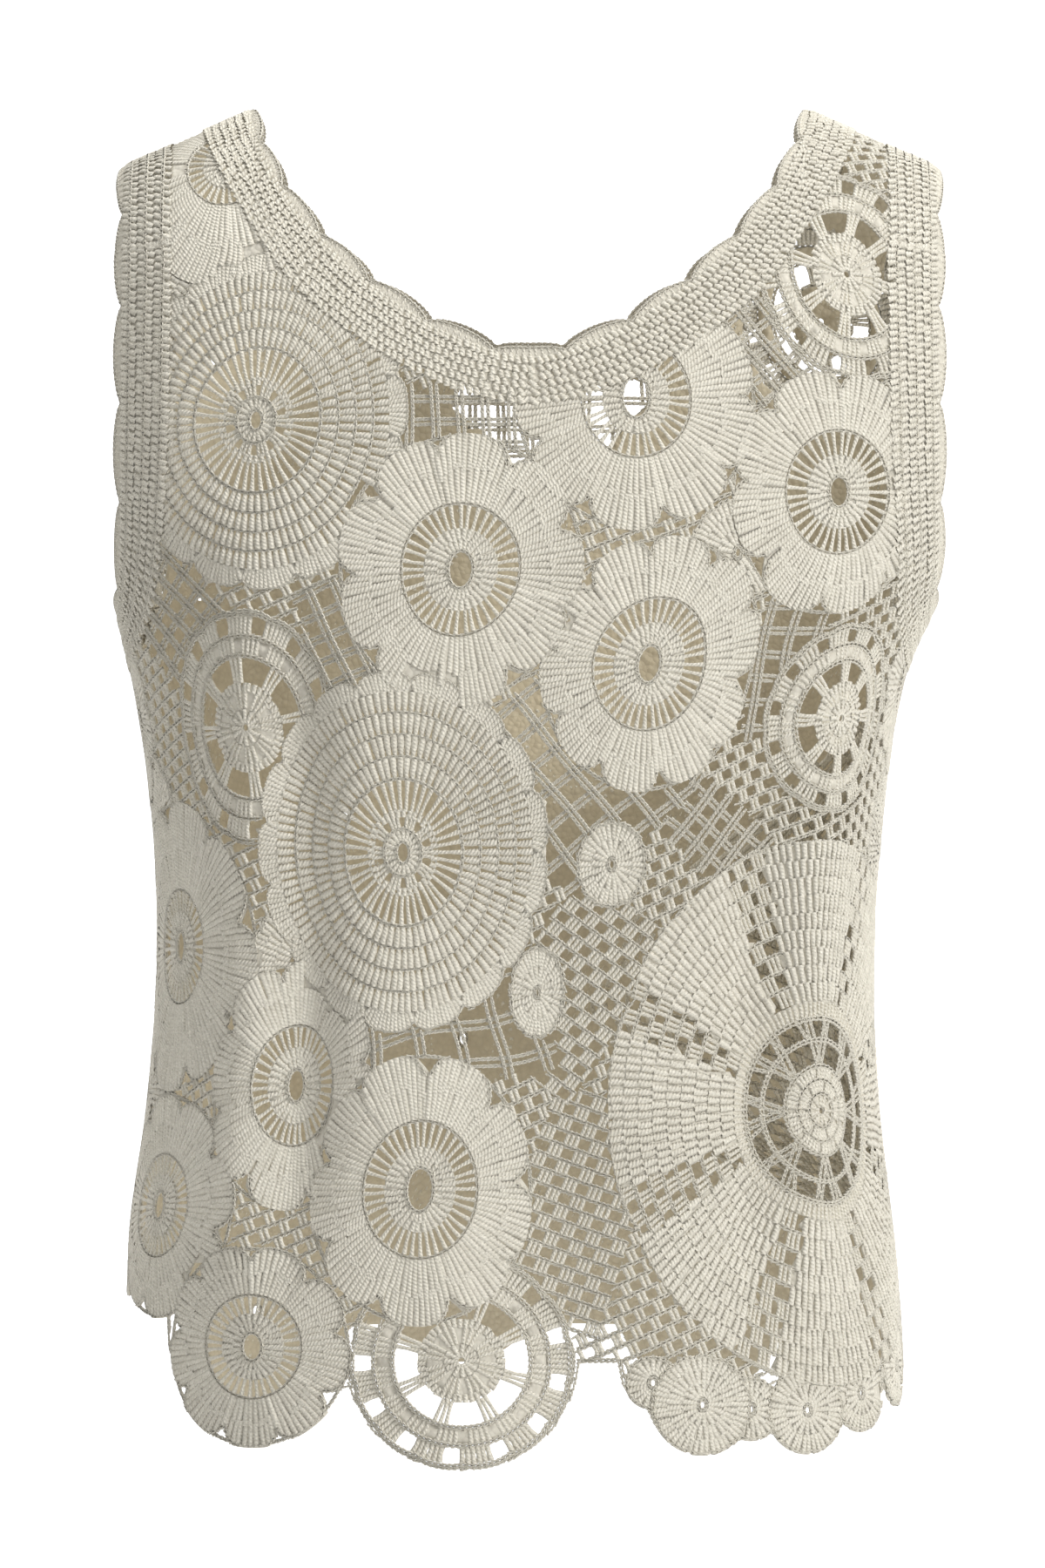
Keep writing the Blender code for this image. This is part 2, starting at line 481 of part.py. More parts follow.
def wanted_gaps(form, side):
    """Every gap that the motifs and patches of one side ask for, the most important first."""
    for motif in MOTIFS:
        if motif["side"] == side and motif["eye"]:
            middle = form.flat_at(motif["x"], motif["z"])
            tall = motif["eye"] * HANG["tall"] * EYE["tall"]
            yield gap_shape(middle, motif["eye"] * HANG["wide"], tall, EYE["sides"], 0)
    for patch in PATCHES:
        if patch["side"] != side:
            continue
        middle = np.array(form.flat_at(patch["x"], patch["z"]))
        turn = math.radians(patch["turn"])
        half_diagonal = patch["gap"] / math.sqrt(2)
        for row in range(patch["rows"]):
            for place in range(patch["columns"]):
                x = (place - (patch["columns"] - 1) / 2 + 0.5 * (row % 2)) * patch["pitch"]
                y = (row - (patch["rows"] - 1) / 2) * patch["pitch"] * PATCH_ROWS
                at = middle + (x * math.cos(turn) - y * math.sin(turn), x * math.sin(turn) + y * math.cos(turn))
                yield gap_shape(at, half_diagonal, half_diagonal, 4, turn)
    for motif in MOTIFS:
        if motif["side"] == side and motif["kind"] == "open rosette":
            middle, radius = form.flat_at(motif["x"], motif["z"]), motif["radius"]
            for ring in ROSETTE_HOLES:
                yield from ring_of_gaps(middle, radius * ring["share"], ring["count"], ring["wide"], ring["high"],
                                        ring["sides"], ring["start"])
    for motif in MOTIFS:
        if motif["side"] == side and motif["kind"] == "doily":
            yield from doily_gaps(form, motif)


def along_loop(loop, most):
    """Points along a closed outline, no further apart than this."""
    ahead = np.roll(loop, -1, axis=0)
    parts = int(math.ceil(np.linalg.norm(ahead - loop, axis=1).max() / most))
    return np.concatenate([loop + (ahead - loop) * k / parts for k in range(parts)])


def is_inside(points, loop):
    x, y = points[:, None, 0], points[:, None, 1]
    ahead = np.roll(loop, -1, axis=0)
    crosses = (loop[:, 1] > y) != (ahead[:, 1] > y)
    rise = np.where(ahead[:, 1] == loop[:, 1], 1, ahead[:, 1] - loop[:, 1])
    where = loop[:, 0] + (y - loop[:, 1]) * (ahead[:, 0] - loop[:, 0]) / rise
    return (crosses & (x < where)).sum(1) % 2 == 1


def nearest(points, others):
    return np.sqrt(((points[:, None] - others[None]) ** 2).sum(-1)).min()


def kept_gaps(form, side, outline):
    """The gaps that leave enough cloth to each other and to the outline."""
    edge = along_loop(outline, 2)
    kept = []
    taken = np.empty((0, 2))
    for gap in wanted_gaps(form, side):
        rim = along_loop(gap, 2)
        if not is_inside(gap, outline).all() or nearest(rim, edge) < HEM_BORDER:
            continue
        if len(taken) and nearest(rim, taken) < BRIDGE:
            continue
        kept.append(gap)
        taken = np.concatenate((taken, rim))
    return kept


def relief(form, side):
    """Points of the motifs' rounds and petals, with how far the outer face stands there."""
    for motif in MOTIFS:
        if motif["side"] != side:
            continue
        middle = form.flat_at(motif["x"], motif["z"])
        for row in RELIEF:
            if row["kind"] == motif["kind"]:
                for k in range(row["count"]):
                    angle = 2 * math.pi * k / row["count"]
                    at = round_point(middle, motif["radius"] * row["share"], angle)
                    yield at, row["high"] if k % 2 else row["low"]


def panel_points(form, side, outline, gaps):
    """Every flat point of the panel with its outer lift, and the loops of point numbers round its edges."""
    points, lifts, loops = [], [], []
    for loop in (outline, *gaps):
        loops.append(range(len(points), len(points) + len(loop)))
        points.extend(map(tuple, loop))
        lifts.extend([WALL] * len(loop))
    rims = np.concatenate([along_loop(loop, 2) for loop in (outline, *gaps)])
    inner = np.empty((0, 2))

    def offer(at, lift, room):
        nonlocal inner
        spot = np.array([at])
        if nearest(spot, rims) < min(room, RIM_ROOM) or not is_inside(spot, outline)[0]:
            return
        if len(inner) and nearest(spot, inner) < room:
            return
        if any(np.linalg.norm(spot[0] - gap.mean(0)) < GAP_REACH and is_inside(spot, gap)[0] for gap in gaps):
            return
        inner = np.concatenate((inner, spot))
        points.append(tuple(at))
        lifts.append(lift)

    for at, lift in relief(form, side):
        offer(at, lift, RELIEF_ROOM)
    for row in range(GRID["rows"]):
        for place in range(-GRID["columns"], GRID["columns"] + 1):
            u = (place + 0.5 * (row % 2)) * GRID["spacing"]
            at = (u, RIDGE_T - row * GRID["spacing"] * GRID["row_share"])
            if nearest(np.array([at]), rims) > GRID["edge_room"]:
                offer(at, WALL, GRID["room"])
    return points, lifts, loops


def panel_mesh(form, side):
    outline = panel_outline(form, side)
    gaps = kept_gaps(form, side, outline)
    points, lifts, loops = panel_points(form, side, outline, gaps)
    edges = [(loop[k - 1], loop[k]) for loop in loops for k in range(len(loop))]
    flat, _, faces, sources, _, _ = delaunay_2d_cdt([Vector(p) for p in points], edges, [], 0, 1e-4)
    flat = np.array([tuple(p) for p in flat])
    outer = np.array([lifts[source[0]] for source in sources])
    middles = np.array([flat[list(face)].mean(0) for face in faces])
    solid = is_inside(middles, outline)
    for gap in gaps:
        near = np.linalg.norm(middles - gap.mean(0), axis=1) < GAP_REACH
        solid[near] &= ~is_inside(middles[near], gap)
    faces = [tuple(face) for face, keep in zip(faces, solid) if keep]
    count = len(flat)
    placed = np.concatenate((form.place(side, flat, outer), form.place(side, flat, np.zeros(count))))
    once = {}
    for face in faces:
        for a, b in zip(face, face[1:] + face[:1]):
            if (b, a) in once:
                del once[b, a]
            else:
                once[a, b] = True
    walls = [(b, a, a + count, b + count) for a, b in once]
    under = [tuple(k + count for k in reversed(face)) for face in faces]
    return placed, faces + under + walls, len(gaps)


def band_ring(form, runs, width):
    """A band along edges that join into a ring: runs of (side, points, ways into the cloth)."""
    rows = len(BAND_RIBS) + 3
    rings = []
    for side, points, ways in runs:
        phase = np.arange(len(points)) / SCALLOP["steps"]
        reach = SCALLOP["height"] * np.abs(np.sin(math.pi * phase)) ** SCALLOP["power"]
        for rib in BAND_RIBS:
            off = rib["share"] * width - (1 - rib["share"]) * reach
            rings.append(form.place(side, points + ways * off[:, None], np.full(len(points), rib["lift"])))
        for share in (1.0, 0.5, 0.0):
            off = share * width - (1 - share) * reach
            rings.append(form.place(side, points + ways * off[:, None], np.zeros(len(points))))
    loops = []
    for k in range(rows):
        loops.append(np.concatenate([rings[run * rows + k][:-1] for run in range(len(runs))]))
    count = len(loops[0])
    faces = []
    for k in range(rows):
        following = (k + 1) % rows
        for i in range(count):
            j = (i + 1) % count
            faces.append((k * count + i, k * count + j, following * count + j, following * count + i))
    return np.concatenate(loops), faces


def neck_band(form):
    runs = []
    for side in ("front", "back"):
        points, ways = neck_stations(form, side)
        if side == "back":
            points, ways = points[::-1], ways[::-1]
        runs.append((side, points, ways))
    return band_ring(form, runs, NECK["width"])


def armhole_band(form, right):
    points, ways = armhole_stations(form)
    if not right:
        points, ways = mirrored(points), mirrored(ways)
    return band_ring(form, [("front", points, ways), ("back", points[::-1], ways[::-1])], ARMHOLE["width"])


def signed_volume(points, faces):
    return sum(
        np.dot(points[face[0]], np.cross(points[face[k]], points[face[k + 1]]))
        for face in faces
        for k in range(1, len(face) - 1)
    )


def add_piece(name, points, faces, tint):
    """One named piece of cloth with its own cotton, its faces turned outwards."""
    if signed_volume(points, faces) < 0:
        faces = [tuple(reversed(face)) for face in faces]
    mesh = bpy.data.meshes.new(name)
    mesh.from_pydata((points * MM).tolist(), [], faces)
    mesh.shade_smooth()
    mesh.set_sharp_from_angle(angle=math.radians(40))
    cotton = bpy.data.materials.new(name + "_cotton")
    cotton.use_nodes = True
    shader = cotton.node_tree.nodes["Principled BSDF"]
    shader.inputs["Base Color"].default_value = (*(tint * channel for channel in COTTON), 1)
    shader.inputs["Roughness"].default_value = 0.9
    shader.inputs["Metallic"].default_value = 0.0
    mesh.materials.append(cotton)
    bpy.context.scene.collection.objects.link(bpy.data.objects.new(name, mesh))


def main():
    for old in list(bpy.data.objects):
        bpy.data.objects.remove(old, do_unlink=True)
    form = Form()
    for side, tint in (("front", 1.0), ("back", 0.96)):
        points, faces, gaps = panel_mesh(form, side)
        add_piece(side + "_panel", points, faces, tint)
        print(side, "panel:", gaps, "gaps")
    add_piece("neck_band", *neck_band(form), 1.04)
    add_piece("armhole_band_left", *armhole_band(form, False), 1.02)
    add_piece("armhole_band_right", *armhole_band(form, True), 1.02)


main()
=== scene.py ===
import math
import bpy
import numpy as np
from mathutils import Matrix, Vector
from mathutils.geometry import delaunay_2d_cdt


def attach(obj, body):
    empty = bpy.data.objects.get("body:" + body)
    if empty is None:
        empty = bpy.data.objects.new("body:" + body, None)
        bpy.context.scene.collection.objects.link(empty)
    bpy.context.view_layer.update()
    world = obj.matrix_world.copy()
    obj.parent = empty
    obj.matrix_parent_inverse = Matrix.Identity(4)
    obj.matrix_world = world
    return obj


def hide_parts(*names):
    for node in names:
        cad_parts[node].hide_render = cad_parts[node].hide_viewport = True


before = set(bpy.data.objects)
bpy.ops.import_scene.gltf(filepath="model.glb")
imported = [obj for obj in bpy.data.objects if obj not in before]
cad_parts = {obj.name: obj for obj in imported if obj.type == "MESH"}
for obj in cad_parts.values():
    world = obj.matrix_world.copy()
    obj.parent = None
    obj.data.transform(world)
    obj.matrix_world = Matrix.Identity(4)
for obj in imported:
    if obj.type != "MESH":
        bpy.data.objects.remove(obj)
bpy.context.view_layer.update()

mm = 0.001                      # everything below is in millimetres until a mesh is made


# The form of the worn cloth, level by level

bodyForm = {
    "z":         (0, -8, -16, -24, -36, -60, -100, -150, -190, -206, -222, -250, -292, -350, -407, -465, -500, -570),
    "halfWidth": (112, 130, 148, 166, 177, 183, 186, 184, 175, 167, 161, 154.5, 149, 146, 149, 156, 158, 158.5),
    "halfDepth": (14, 30, 39, 46, 56, 71, 88, 100, 106, 108, 109, 108, 104.5, 100, 101, 105, 108, 113),
    "midX":      (0, 0, 0, 0, 0, 0, 0, 0, -0.5, -2, -4, -5, -5, -6, -7, -7.5, -6.5, -6),
    "roundness": 2.5,
    "seamU": 212,               # flat distance from the middle to the side seam
    "yokeZ": -60, "ridgeT": 18, "lowestZ": -566,
}
seamU, yokeZ, ridgeT, lowestZ = (bodyForm[k] for k in ("seamU", "yokeZ", "ridgeT", "lowestZ"))
roundness = bodyForm["roundness"]


def tableOf(columns, *rows):    # one dictionary a row; a row may end in a dictionary of what it alone has
    table = []
    for row in rows:
        alone = row[-1] if isinstance(row[-1], dict) else {}
        shared = zip(columns, row[:-1] if alone else row)
        table.append({**{key: value for key, value in shared if value is not None}, **alone})
    return tuple(table)


folds = tableOf(                # soft ridges (+) and troughs (-) down the cloth
    ("side", "topX", "midX", "lowX", "topZ", "lowZ", "out", "wide"),
    ("front", -119, -106, -119, -150, -520, 7.0, 13),
    ("front", -99, -84, -95, -180, -500, -5.6, 11),
    ("front", 127, 118, 121, -150, -530, 7.0, 12),
    ("front", 106, 99, 103, -190, -520, -5.0, 11),
    ("front", -40, -24, -14, -300, -640, 4.2, 20),
    ("front", 44, 52, 62, -340, -640, 4.2, 18),
    ("front", 20, 20, 24, -360, -640, -2.8, 14),
    ("front", -74, -62, -72, -150, -540, 3.2, 19),
    ("back", -112, -100, -116, -170, -640, 6.3, 13),
    ("back", -88, -80, -90, -210, -520, -4.2, 12),
    ("back", 115, 104, 112, -160, -500, 6.3, 13),
    ("back", 30, 22, 34, -280, -640, 4.9, 20),
    ("back", -38, -42, -36, -320, -640, 4.2, 18))


def through(z, name):
    known = np.array(bodyForm["z"][::-1], float)
    values = np.array(bodyForm[name][::-1], float)
    slopes = np.gradient(values, known)
    z = np.clip(z, known[0], known[-1])
    i = np.clip(np.searchsorted(known, z) - 1, 0, len(known) - 2)
    span = known[i + 1] - known[i]
    w = (z - known[i]) / span
    rise = values[i + 1] - values[i]
    return (values[i] + w * slopes[i] * span
            + w**2 * (3 * rise - (2 * slopes[i] + slopes[i + 1]) * span)
            + w**3 * ((slopes[i] + slopes[i + 1]) * span - 2 * rise))


def unit(vectors):
    return vectors / np.maximum(np.linalg.norm(vectors, axis=-1, keepdims=True), 1e-9)


def depthAt(x, z):
    share = np.clip(np.abs(x) / through(z, "halfWidth"), 0, 1)
    return through(z, "halfDepth") * (1 - share**roundness) ** (1 / roundness)


def outward(x, y, z):
    width, depth = through(z, "halfWidth"), through(z, "halfDepth")
    widthSlope = through(z + 0.5, "halfWidth") - through(z - 0.5, "halfWidth")
    depthSlope = through(z + 0.5, "halfDepth") - through(z - 0.5, "halfDepth")
    across, deep = np.clip(x / width, 0, 1), np.clip(-y / depth, 0, 1)
    return unit(np.stack((across ** (roundness - 1) / width, -(deep ** (roundness - 1)) / depth,
                          -(across**roundness) * widthSlope / width - deep**roundness * depthSlope / depth), axis=-1))


def evenSteps(x, y, z, count):
    run = np.concatenate(([0], np.cumsum(np.sqrt(np.diff(x) ** 2 + np.diff(y) ** 2 + np.diff(z) ** 2))))
    wanted = np.linspace(0, run[-1], count)
    return [np.interp(wanted, run, values) for values in (x, y, z)]


def runAlong(line):
    return np.concatenate(([0], np.cumsum(np.linalg.norm(np.diff(line, axis=0), axis=1))))


def marksOn(line, run, marks):
    return np.stack([np.interp(marks, run, line[:, k]) for k in (0, 1)], 1)


def squareTo(ahead):
    return unit(np.stack((-ahead[:, 1], ahead[:, 0]), 1))


def eased(value):
    value = np.clip(value, 0, 1)
    return value * value * (3 - 2 * value)


def foldHeight(side, x, z):
    total = np.zeros_like(x)
    for fold in folds:
        if fold["side"] != side:
            continue
        along = np.clip((fold["topZ"] - z) / (fold["topZ"] - fold["lowZ"]), 0, 1)
        line = (fold["topX"] * (1 - along) * (1 - 2 * along) + 4 * fold["midX"] * along * (1 - along)
                + fold["lowX"] * along * (2 * along - 1))
        strength = eased(along / 0.3) * eased((1 - along) / 0.25)
        total += fold["out"] * strength * np.exp(-(((x - line) / fold["wide"]) ** 2) / 2)
    return total


class Form:                     # grids of points: the body below the yoke, and the yoke up to the shoulder line
    rows, yokeRows, columns = 254, 60, 161

    def __init__(self):
        angle = np.linspace(0, math.pi / 2, 361)
        body = []
        for z in np.linspace(lowestZ, yokeZ, self.rows):
            x = through(z, "halfWidth") * np.sin(angle) ** (2 / roundness)
            y = -through(z, "halfDepth") * np.cos(angle) ** (2 / roundness)
            body.append(evenSteps(x, y, np.full_like(x, z), self.columns))
        self.body = np.array(body).transpose(0, 2, 1)
        heights = np.linspace(0, yokeZ, 241)
        widths = through(heights, "halfWidth")
        share = np.linspace(1, 0, 161) ** roundness
        yoke = []
        for x in self.body[-1, :, 0]:
            top = np.interp(x, widths, heights)
            z = top + (yokeZ - top) * share
            y = -depthAt(x, z)
            if x > widths[0]:
                y[-1] = 0
            yoke.append(evenSteps(np.full_like(z, x), y, z, self.yokeRows))
        self.yoke = np.array(yoke).transpose(2, 0, 1)
        self.bodyOut = outward(*np.moveaxis(self.body, -1, 0))
        self.yokeOut = outward(*np.moveaxis(self.yoke, -1, 0))

    @staticmethod
    def between(grid, row, across):
        i = np.minimum(row.astype(int), grid.shape[0] - 2)
        j = np.minimum(across.astype(int), grid.shape[1] - 2)
        a, b = (row - i)[:, None], (across - j)[:, None]
        return ((1 - a) * ((1 - b) * grid[i, j] + b * grid[i, j + 1])
                + a * ((1 - b) * grid[i + 1, j] + b * grid[i + 1, j + 1]))

    def place(self, side, flat, lift):          # flat (u, t) to points of the garment and the way out of the cloth
        u, t = np.asarray(flat, float).T
        across = np.clip(np.abs(u) / seamU, 0, 1) * (self.columns - 1)
        low = np.clip((t - lowestZ) / (yokeZ - lowestZ), 0, 1) * (self.rows - 1)
        high = np.clip((t - yokeZ) / (ridgeT - yokeZ), 0, 1) * (self.yokeRows - 1)
        onBody = (t <= yokeZ)[:, None]
        point = np.where(onBody, self.between(self.body, low, across), self.between(self.yoke, high, across))
        out = np.where(onBody, self.between(self.bodyOut, low, across), self.between(self.yokeOut, high, across))
        way = np.stack((np.where(u < 0, -1, 1), np.full_like(u, 1 if side == "front" else -1), np.ones_like(u)), 1)
        point, out = point * way, unit(out * way)
        swell = foldHeight(side, point[:, 0], point[:, 2]) * (1 - (np.abs(u) / seamU) ** 8)
        point = point + out * (swell + lift)[:, None]
        point[:, 0] += through(point[:, 2], "midX")
        return point, out

    def flatAt(self, x, z):                     # the flat point that is seen square on at x and z
        off = abs(x - float(through(z, "midX")))
        if z <= yokeZ:
            row = np.full(self.columns, (z - lowestZ) / (yokeZ - lowestZ) * (self.rows - 1))
            steps = np.arange(self.columns, dtype=float)
            u, t = np.interp(off, self.between(self.body, row, steps)[:, 0], steps), z
        else:
            u = np.interp(off, self.body[-1, :, 0], np.arange(self.columns, dtype=float))
            rows = np.arange(self.yokeRows, dtype=float)
            line = self.between(self.yoke, rows, np.full(self.yokeRows, u))
            t = yokeZ + np.interp(z, line[:, 2], rows) / (self.yokeRows - 1) * (ridgeT - yokeZ)
        return np.array((math.copysign(u / (self.columns - 1) * seamU, x), float(t)))


form = Form()
print("form ready")


# Edges of the pieces

neck = {"halfWidth": 115, "frontDepth": 105, "backDepth": 97, "power": 1.55, "width": 17, "scallops": 13}
armhole = {"halfWidth": 166, "width": 20, "scallops": 6}
scallopHeight = 4
hem = {"front": -512, "back": -506, "left": -489, "right": -520, "ease": 26, "highBefore": -112, "high": -481,
       "below": 30}             # how far the round motifs reach below the line of the hem


def neckPath(side):
    depth = neck[side + "Depth"]
    path = []
    for angle in np.linspace(0, math.pi, 241):
        x = -math.copysign(abs(math.cos(angle)) ** (2 / neck["power"]), math.cos(angle)) * neck["halfWidth"]
        z = -(math.sin(angle) ** (2 / neck["power"])) * depth
        path.append(form.flatAt(x, min(z, float(np.interp(abs(x), (112, 115), (0, -1.3))))))
    path[0][1] = path[-1][1] = ridgeT
    return np.array(path)


def armholePath():
    top = form.flatAt(armhole["halfWidth"], yokeZ)[0]
    path = [(top, t) for t in np.linspace(ridgeT, yokeZ, 40)]
    levels = np.linspace(-150, -230, 400)
    lowest = np.interp(-armhole["halfWidth"], -through(levels, "halfWidth"), levels)
    for z in lowest + (yokeZ - lowest) * np.linspace(1, 0, 160)[1:] ** roundness:
        path.append(tuple(form.flatAt(armhole["halfWidth"] + float(through(z, "midX")), z)))
    path[-1] = (seamU, path[-1][1])
    return np.array(path)


def stations(side, path, count, ends):          # even steps along an edge, and the ways into the cloth
    run = runAlong(form.place(side, path, np.zeros(len(path)))[0])
    wanted = np.linspace(0, run[-1], count)
    points = marksOn(path, run, wanted)
    way = marksOn(path, run, wanted + 1.5) - marksOn(path, run, wanted - 1.5)
    ways = -squareTo(way)
    ways[0], ways[-1] = ends
    return points, ways, run[-1]


def neckStations(side, count):
    points, ways, length = stations(side, neckPath(side), count, ((-1, 0), (1, 0)))
    ways[1:-1] *= np.sign((ways[1:-1] * (points[1:-1] - (0, ridgeT))).sum(1, keepdims=True))
    return points, ways, length


def armholeStations(count):
    points, ways, length = stations("front", armholePath(), count, ((-1, 0), (0, -1)))
    ways[1:-1] *= np.sign((ways[1:-1] * (-1, -0.4)).sum(1, keepdims=True))
    return points, ways, length


def hemPath(side):
    u = np.linspace(-seamU, seamU, 241)
    low = np.where(u < form.flatAt(hem["highBefore"], hem["high"])[0], hem["high"], hem[side]).astype(float)
    for motif in motifs[side]:              # the round motifs on the hem are its lower edge
        if not motif.get("onHem"):
            continue
        (centreU, centreT), radius = form.flatAt(motif["x"], motif["z"]), motif["radius"]
        inside = np.abs(u - centreU) < radius
        arc = centreT - np.sqrt(np.where(inside, radius**2 - (u - centreU) ** 2, 0))
        low = np.where(inside, np.minimum(low, arc), low)
    for end, sign in (("left", -1), ("right", 1)):
        share = eased(1 - (seamU - sign * u) / hem["ease"])
        low = low * (1 - share) + hem[end] * share
    return np.stack((u, low), 1)


mirror = np.array((-1, 1))


def panelOutline(side, tuck=0.0):       # tuck is how far the panel's yarn reaches under the bands
    lower = hemPath(side)
    armPoints, armWays, _ = armholeStations(49)
    arm = (armPoints + armWays * (armhole["width"] - tuck))[::-1]
    neckPoints, neckWays, _ = neckStations(side, 97)
    top = (neckPoints + neckWays * (neck["width"] - tuck))[::-1]
    loop = np.concatenate((lower, arm, top, (arm * mirror)[::-1]))
    full = []
    for here, there in zip(loop, np.roll(loop, -1, axis=0)):        # no edge longer than the grid inside it
        steps = max(int(np.hypot(*(there - here)) / 5), 1)
        full.extend(here + (there - here) * k / steps for k in range(steps))
    return np.array(full)


def isInside(points, loop):
    ahead = np.roll(loop, -1, axis=0)
    result = np.zeros(len(points), bool)
    for start in range(0, len(points), 20000):
        x, y = points[start:start + 20000, None, 0], points[start:start + 20000, None, 1]
        crosses = (loop[:, 1] > y) != (ahead[:, 1] > y)
        rise = np.where(ahead[:, 1] == loop[:, 1], 1, ahead[:, 1] - loop[:, 1])
        where = loop[:, 0] + (y - loop[:, 1]) * (ahead[:, 0] - loop[:, 0]) / rise
        result[start:start + 20000] = (crosses & (x < where)).sum(1) % 2 == 1
    return result


# Yarn: stitches are kept flat, as short paths with a lift and a thickness, until their mesh is made

class Yarn:
    def __init__(self, side, keep=None, seed=1):
        self.side, self.keep, self.batches = side, keep, []
        self.rng = np.random.default_rng(seed)

    def add(self, path, lift, thick, sides=4, rise=1.0):
        path = np.asarray(path, float)
        count, steps = path.shape[:2]
        if not count:
            return
        lift = np.broadcast_to(lift, (count, steps)).copy()
        thick = np.broadcast_to(thick, (count, steps)).copy()
        if self.keep is not None:
            kept = self.keep(path)
            path, lift, thick = path[kept], lift[kept], thick[kept]
        if len(path):
            self.batches.append((path, lift, thick, sides, rise))

    def posts(self, inner, outer, lift=1.0, thick=0.9, arch=0.25, sides=4, pinch=0.82, rise=1.0, head=1.05,
              foot=1.0):
        middle = (inner + outer) / 2 + self.rng.normal(0, 0.12, inner.shape)
        lift = np.asarray(lift, float)
        lift = lift[:, None] if lift.ndim else lift
        self.add(np.stack((inner, middle, outer), 1), lift + np.array((0, arch, 0.1)),
                 thick * np.array((foot, pinch, head)), sides, rise)

    def chain(self, line, pitch=2.5, width=1.5, thick=0.55, lift=1.75, closed=False):
        line = np.asarray(line, float)
        if closed:
            line = np.concatenate((line, line[:1]))
        run = runAlong(line)
        count = max(int(round(run[-1] / pitch)), 1)
        points = marksOn(line, run, np.linspace(0, run[-1], count + 1))
        ahead = points[1:] - points[:-1]
        square = squareTo(ahead)
        for sign in (-1, 1):
            tail = points[:-1] - 0.15 * ahead + square * sign * width * 0.5
            head = points[1:] + 0.2 * ahead + square * sign * width * 0.12
            self.add(np.stack((tail, head), 1), np.array((lift - 0.15, lift + 0.15)),
                     np.array((thick, thick * 0.85)), sides=3)

    def cord(self, line, gap=1.9, **options):       # two chains side by side
        line = np.asarray(line, float)
        square = squareTo(np.gradient(line, axis=0))
        for sign in (-0.5, 0.5):
            self.chain(line + square * gap * sign, **options)


def placed(name, data):
    piece = bpy.data.objects.new(name, data)
    bpy.context.scene.collection.objects.link(piece)
    return piece


def meshFrom(name, points, faces, uv=None, tone=None):
    mesh = bpy.data.meshes.new(name)
    faces = np.asarray(faces, np.int32)
    corners = faces.shape[1]
    mesh.vertices.add(len(points))
    mesh.vertices.foreach_set("co", (points * mm).astype(np.float32).ravel())
    mesh.loops.add(faces.size)
    mesh.loops.foreach_set("vertex_index", faces.ravel())
    mesh.polygons.add(len(faces))
    mesh.polygons.foreach_set("loop_start", np.arange(0, faces.size, corners, dtype=np.int32))
    mesh.update(calc_edges=True)
    if uv is not None:
        layer = mesh.uv_layers.new(name="Ply")
        layer.uv.foreach_set("vector", uv.astype(np.float32).ravel())
    if tone is not None:
        mesh.attributes.new("tone", "FLOAT", "POINT").data.foreach_set("value", tone.astype(np.float32))
    mesh.shade_smooth()
    return placed(name, mesh)


def spin(yarns, name):          # the mesh of one or more yarns
    points, faces, uvs, tones, start = [], [], [], [], 0
    for yarn in yarns:
        for path, lift, thick, sides, rise in yarn.batches:
            count, steps = path.shape[:2]
            centre, out = form.place(yarn.side, path.reshape(-1, 2), lift.ravel())
            centre, out = centre.reshape(count, steps, 3), out.reshape(count, steps, 3)
            along = unit(np.gradient(centre, axis=1))
            across = unit(np.cross(along, out))
            upper = np.cross(across, along)
            angle = np.arange(sides) * 2 * math.pi / sides
            ring = (centre[:, :, None] + thick[:, :, None, None] * (
                rise * np.cos(angle)[None, None, :, None] * upper[:, :, None]
                + np.sin(angle)[None, None, :, None] * across[:, :, None]))
            points.append(ring.reshape(-1, 3))
            base = start + (np.arange(count)[:, None, None] * steps + np.arange(steps - 1)[None, :, None]) * sides
            here = np.arange(sides)[None, None, :]
            nextOne = (here + 1) % sides
            quad = np.stack((base + here, base + nextOne, base + sides + nextOne, base + sides + here), -1)
            faces.append(quad.reshape(-1, 4))
            run = np.concatenate((np.zeros((count, 1)), np.cumsum(
                np.linalg.norm(np.diff(centre, axis=1), axis=2), axis=1)), axis=1)
            run += yarn.rng.uniform(0, 3, (count, 1))
            low = np.broadcast_to(run[:, :-1, None], quad.shape[:3])
            high = np.broadcast_to(run[:, 1:, None], quad.shape[:3])
            left = np.broadcast_to(here / sides, quad.shape[:3])
            right = left + 1 / sides
            uvs.append(np.stack((np.stack((left, low), -1), np.stack((right, low), -1),
                                 np.stack((right, high), -1), np.stack((left, high), -1)), -2).reshape(-1, 2))
            tones.append(np.repeat(yarn.rng.normal(0.5, 0.17, count), steps * sides))
            start += count * steps * sides
    return meshFrom(name, np.concatenate(points), np.concatenate(faces), np.concatenate(uvs), np.concatenate(tones))


# Motifs. Each has its middle as seen square on, its radius, and its own sizes; the first named lie on top

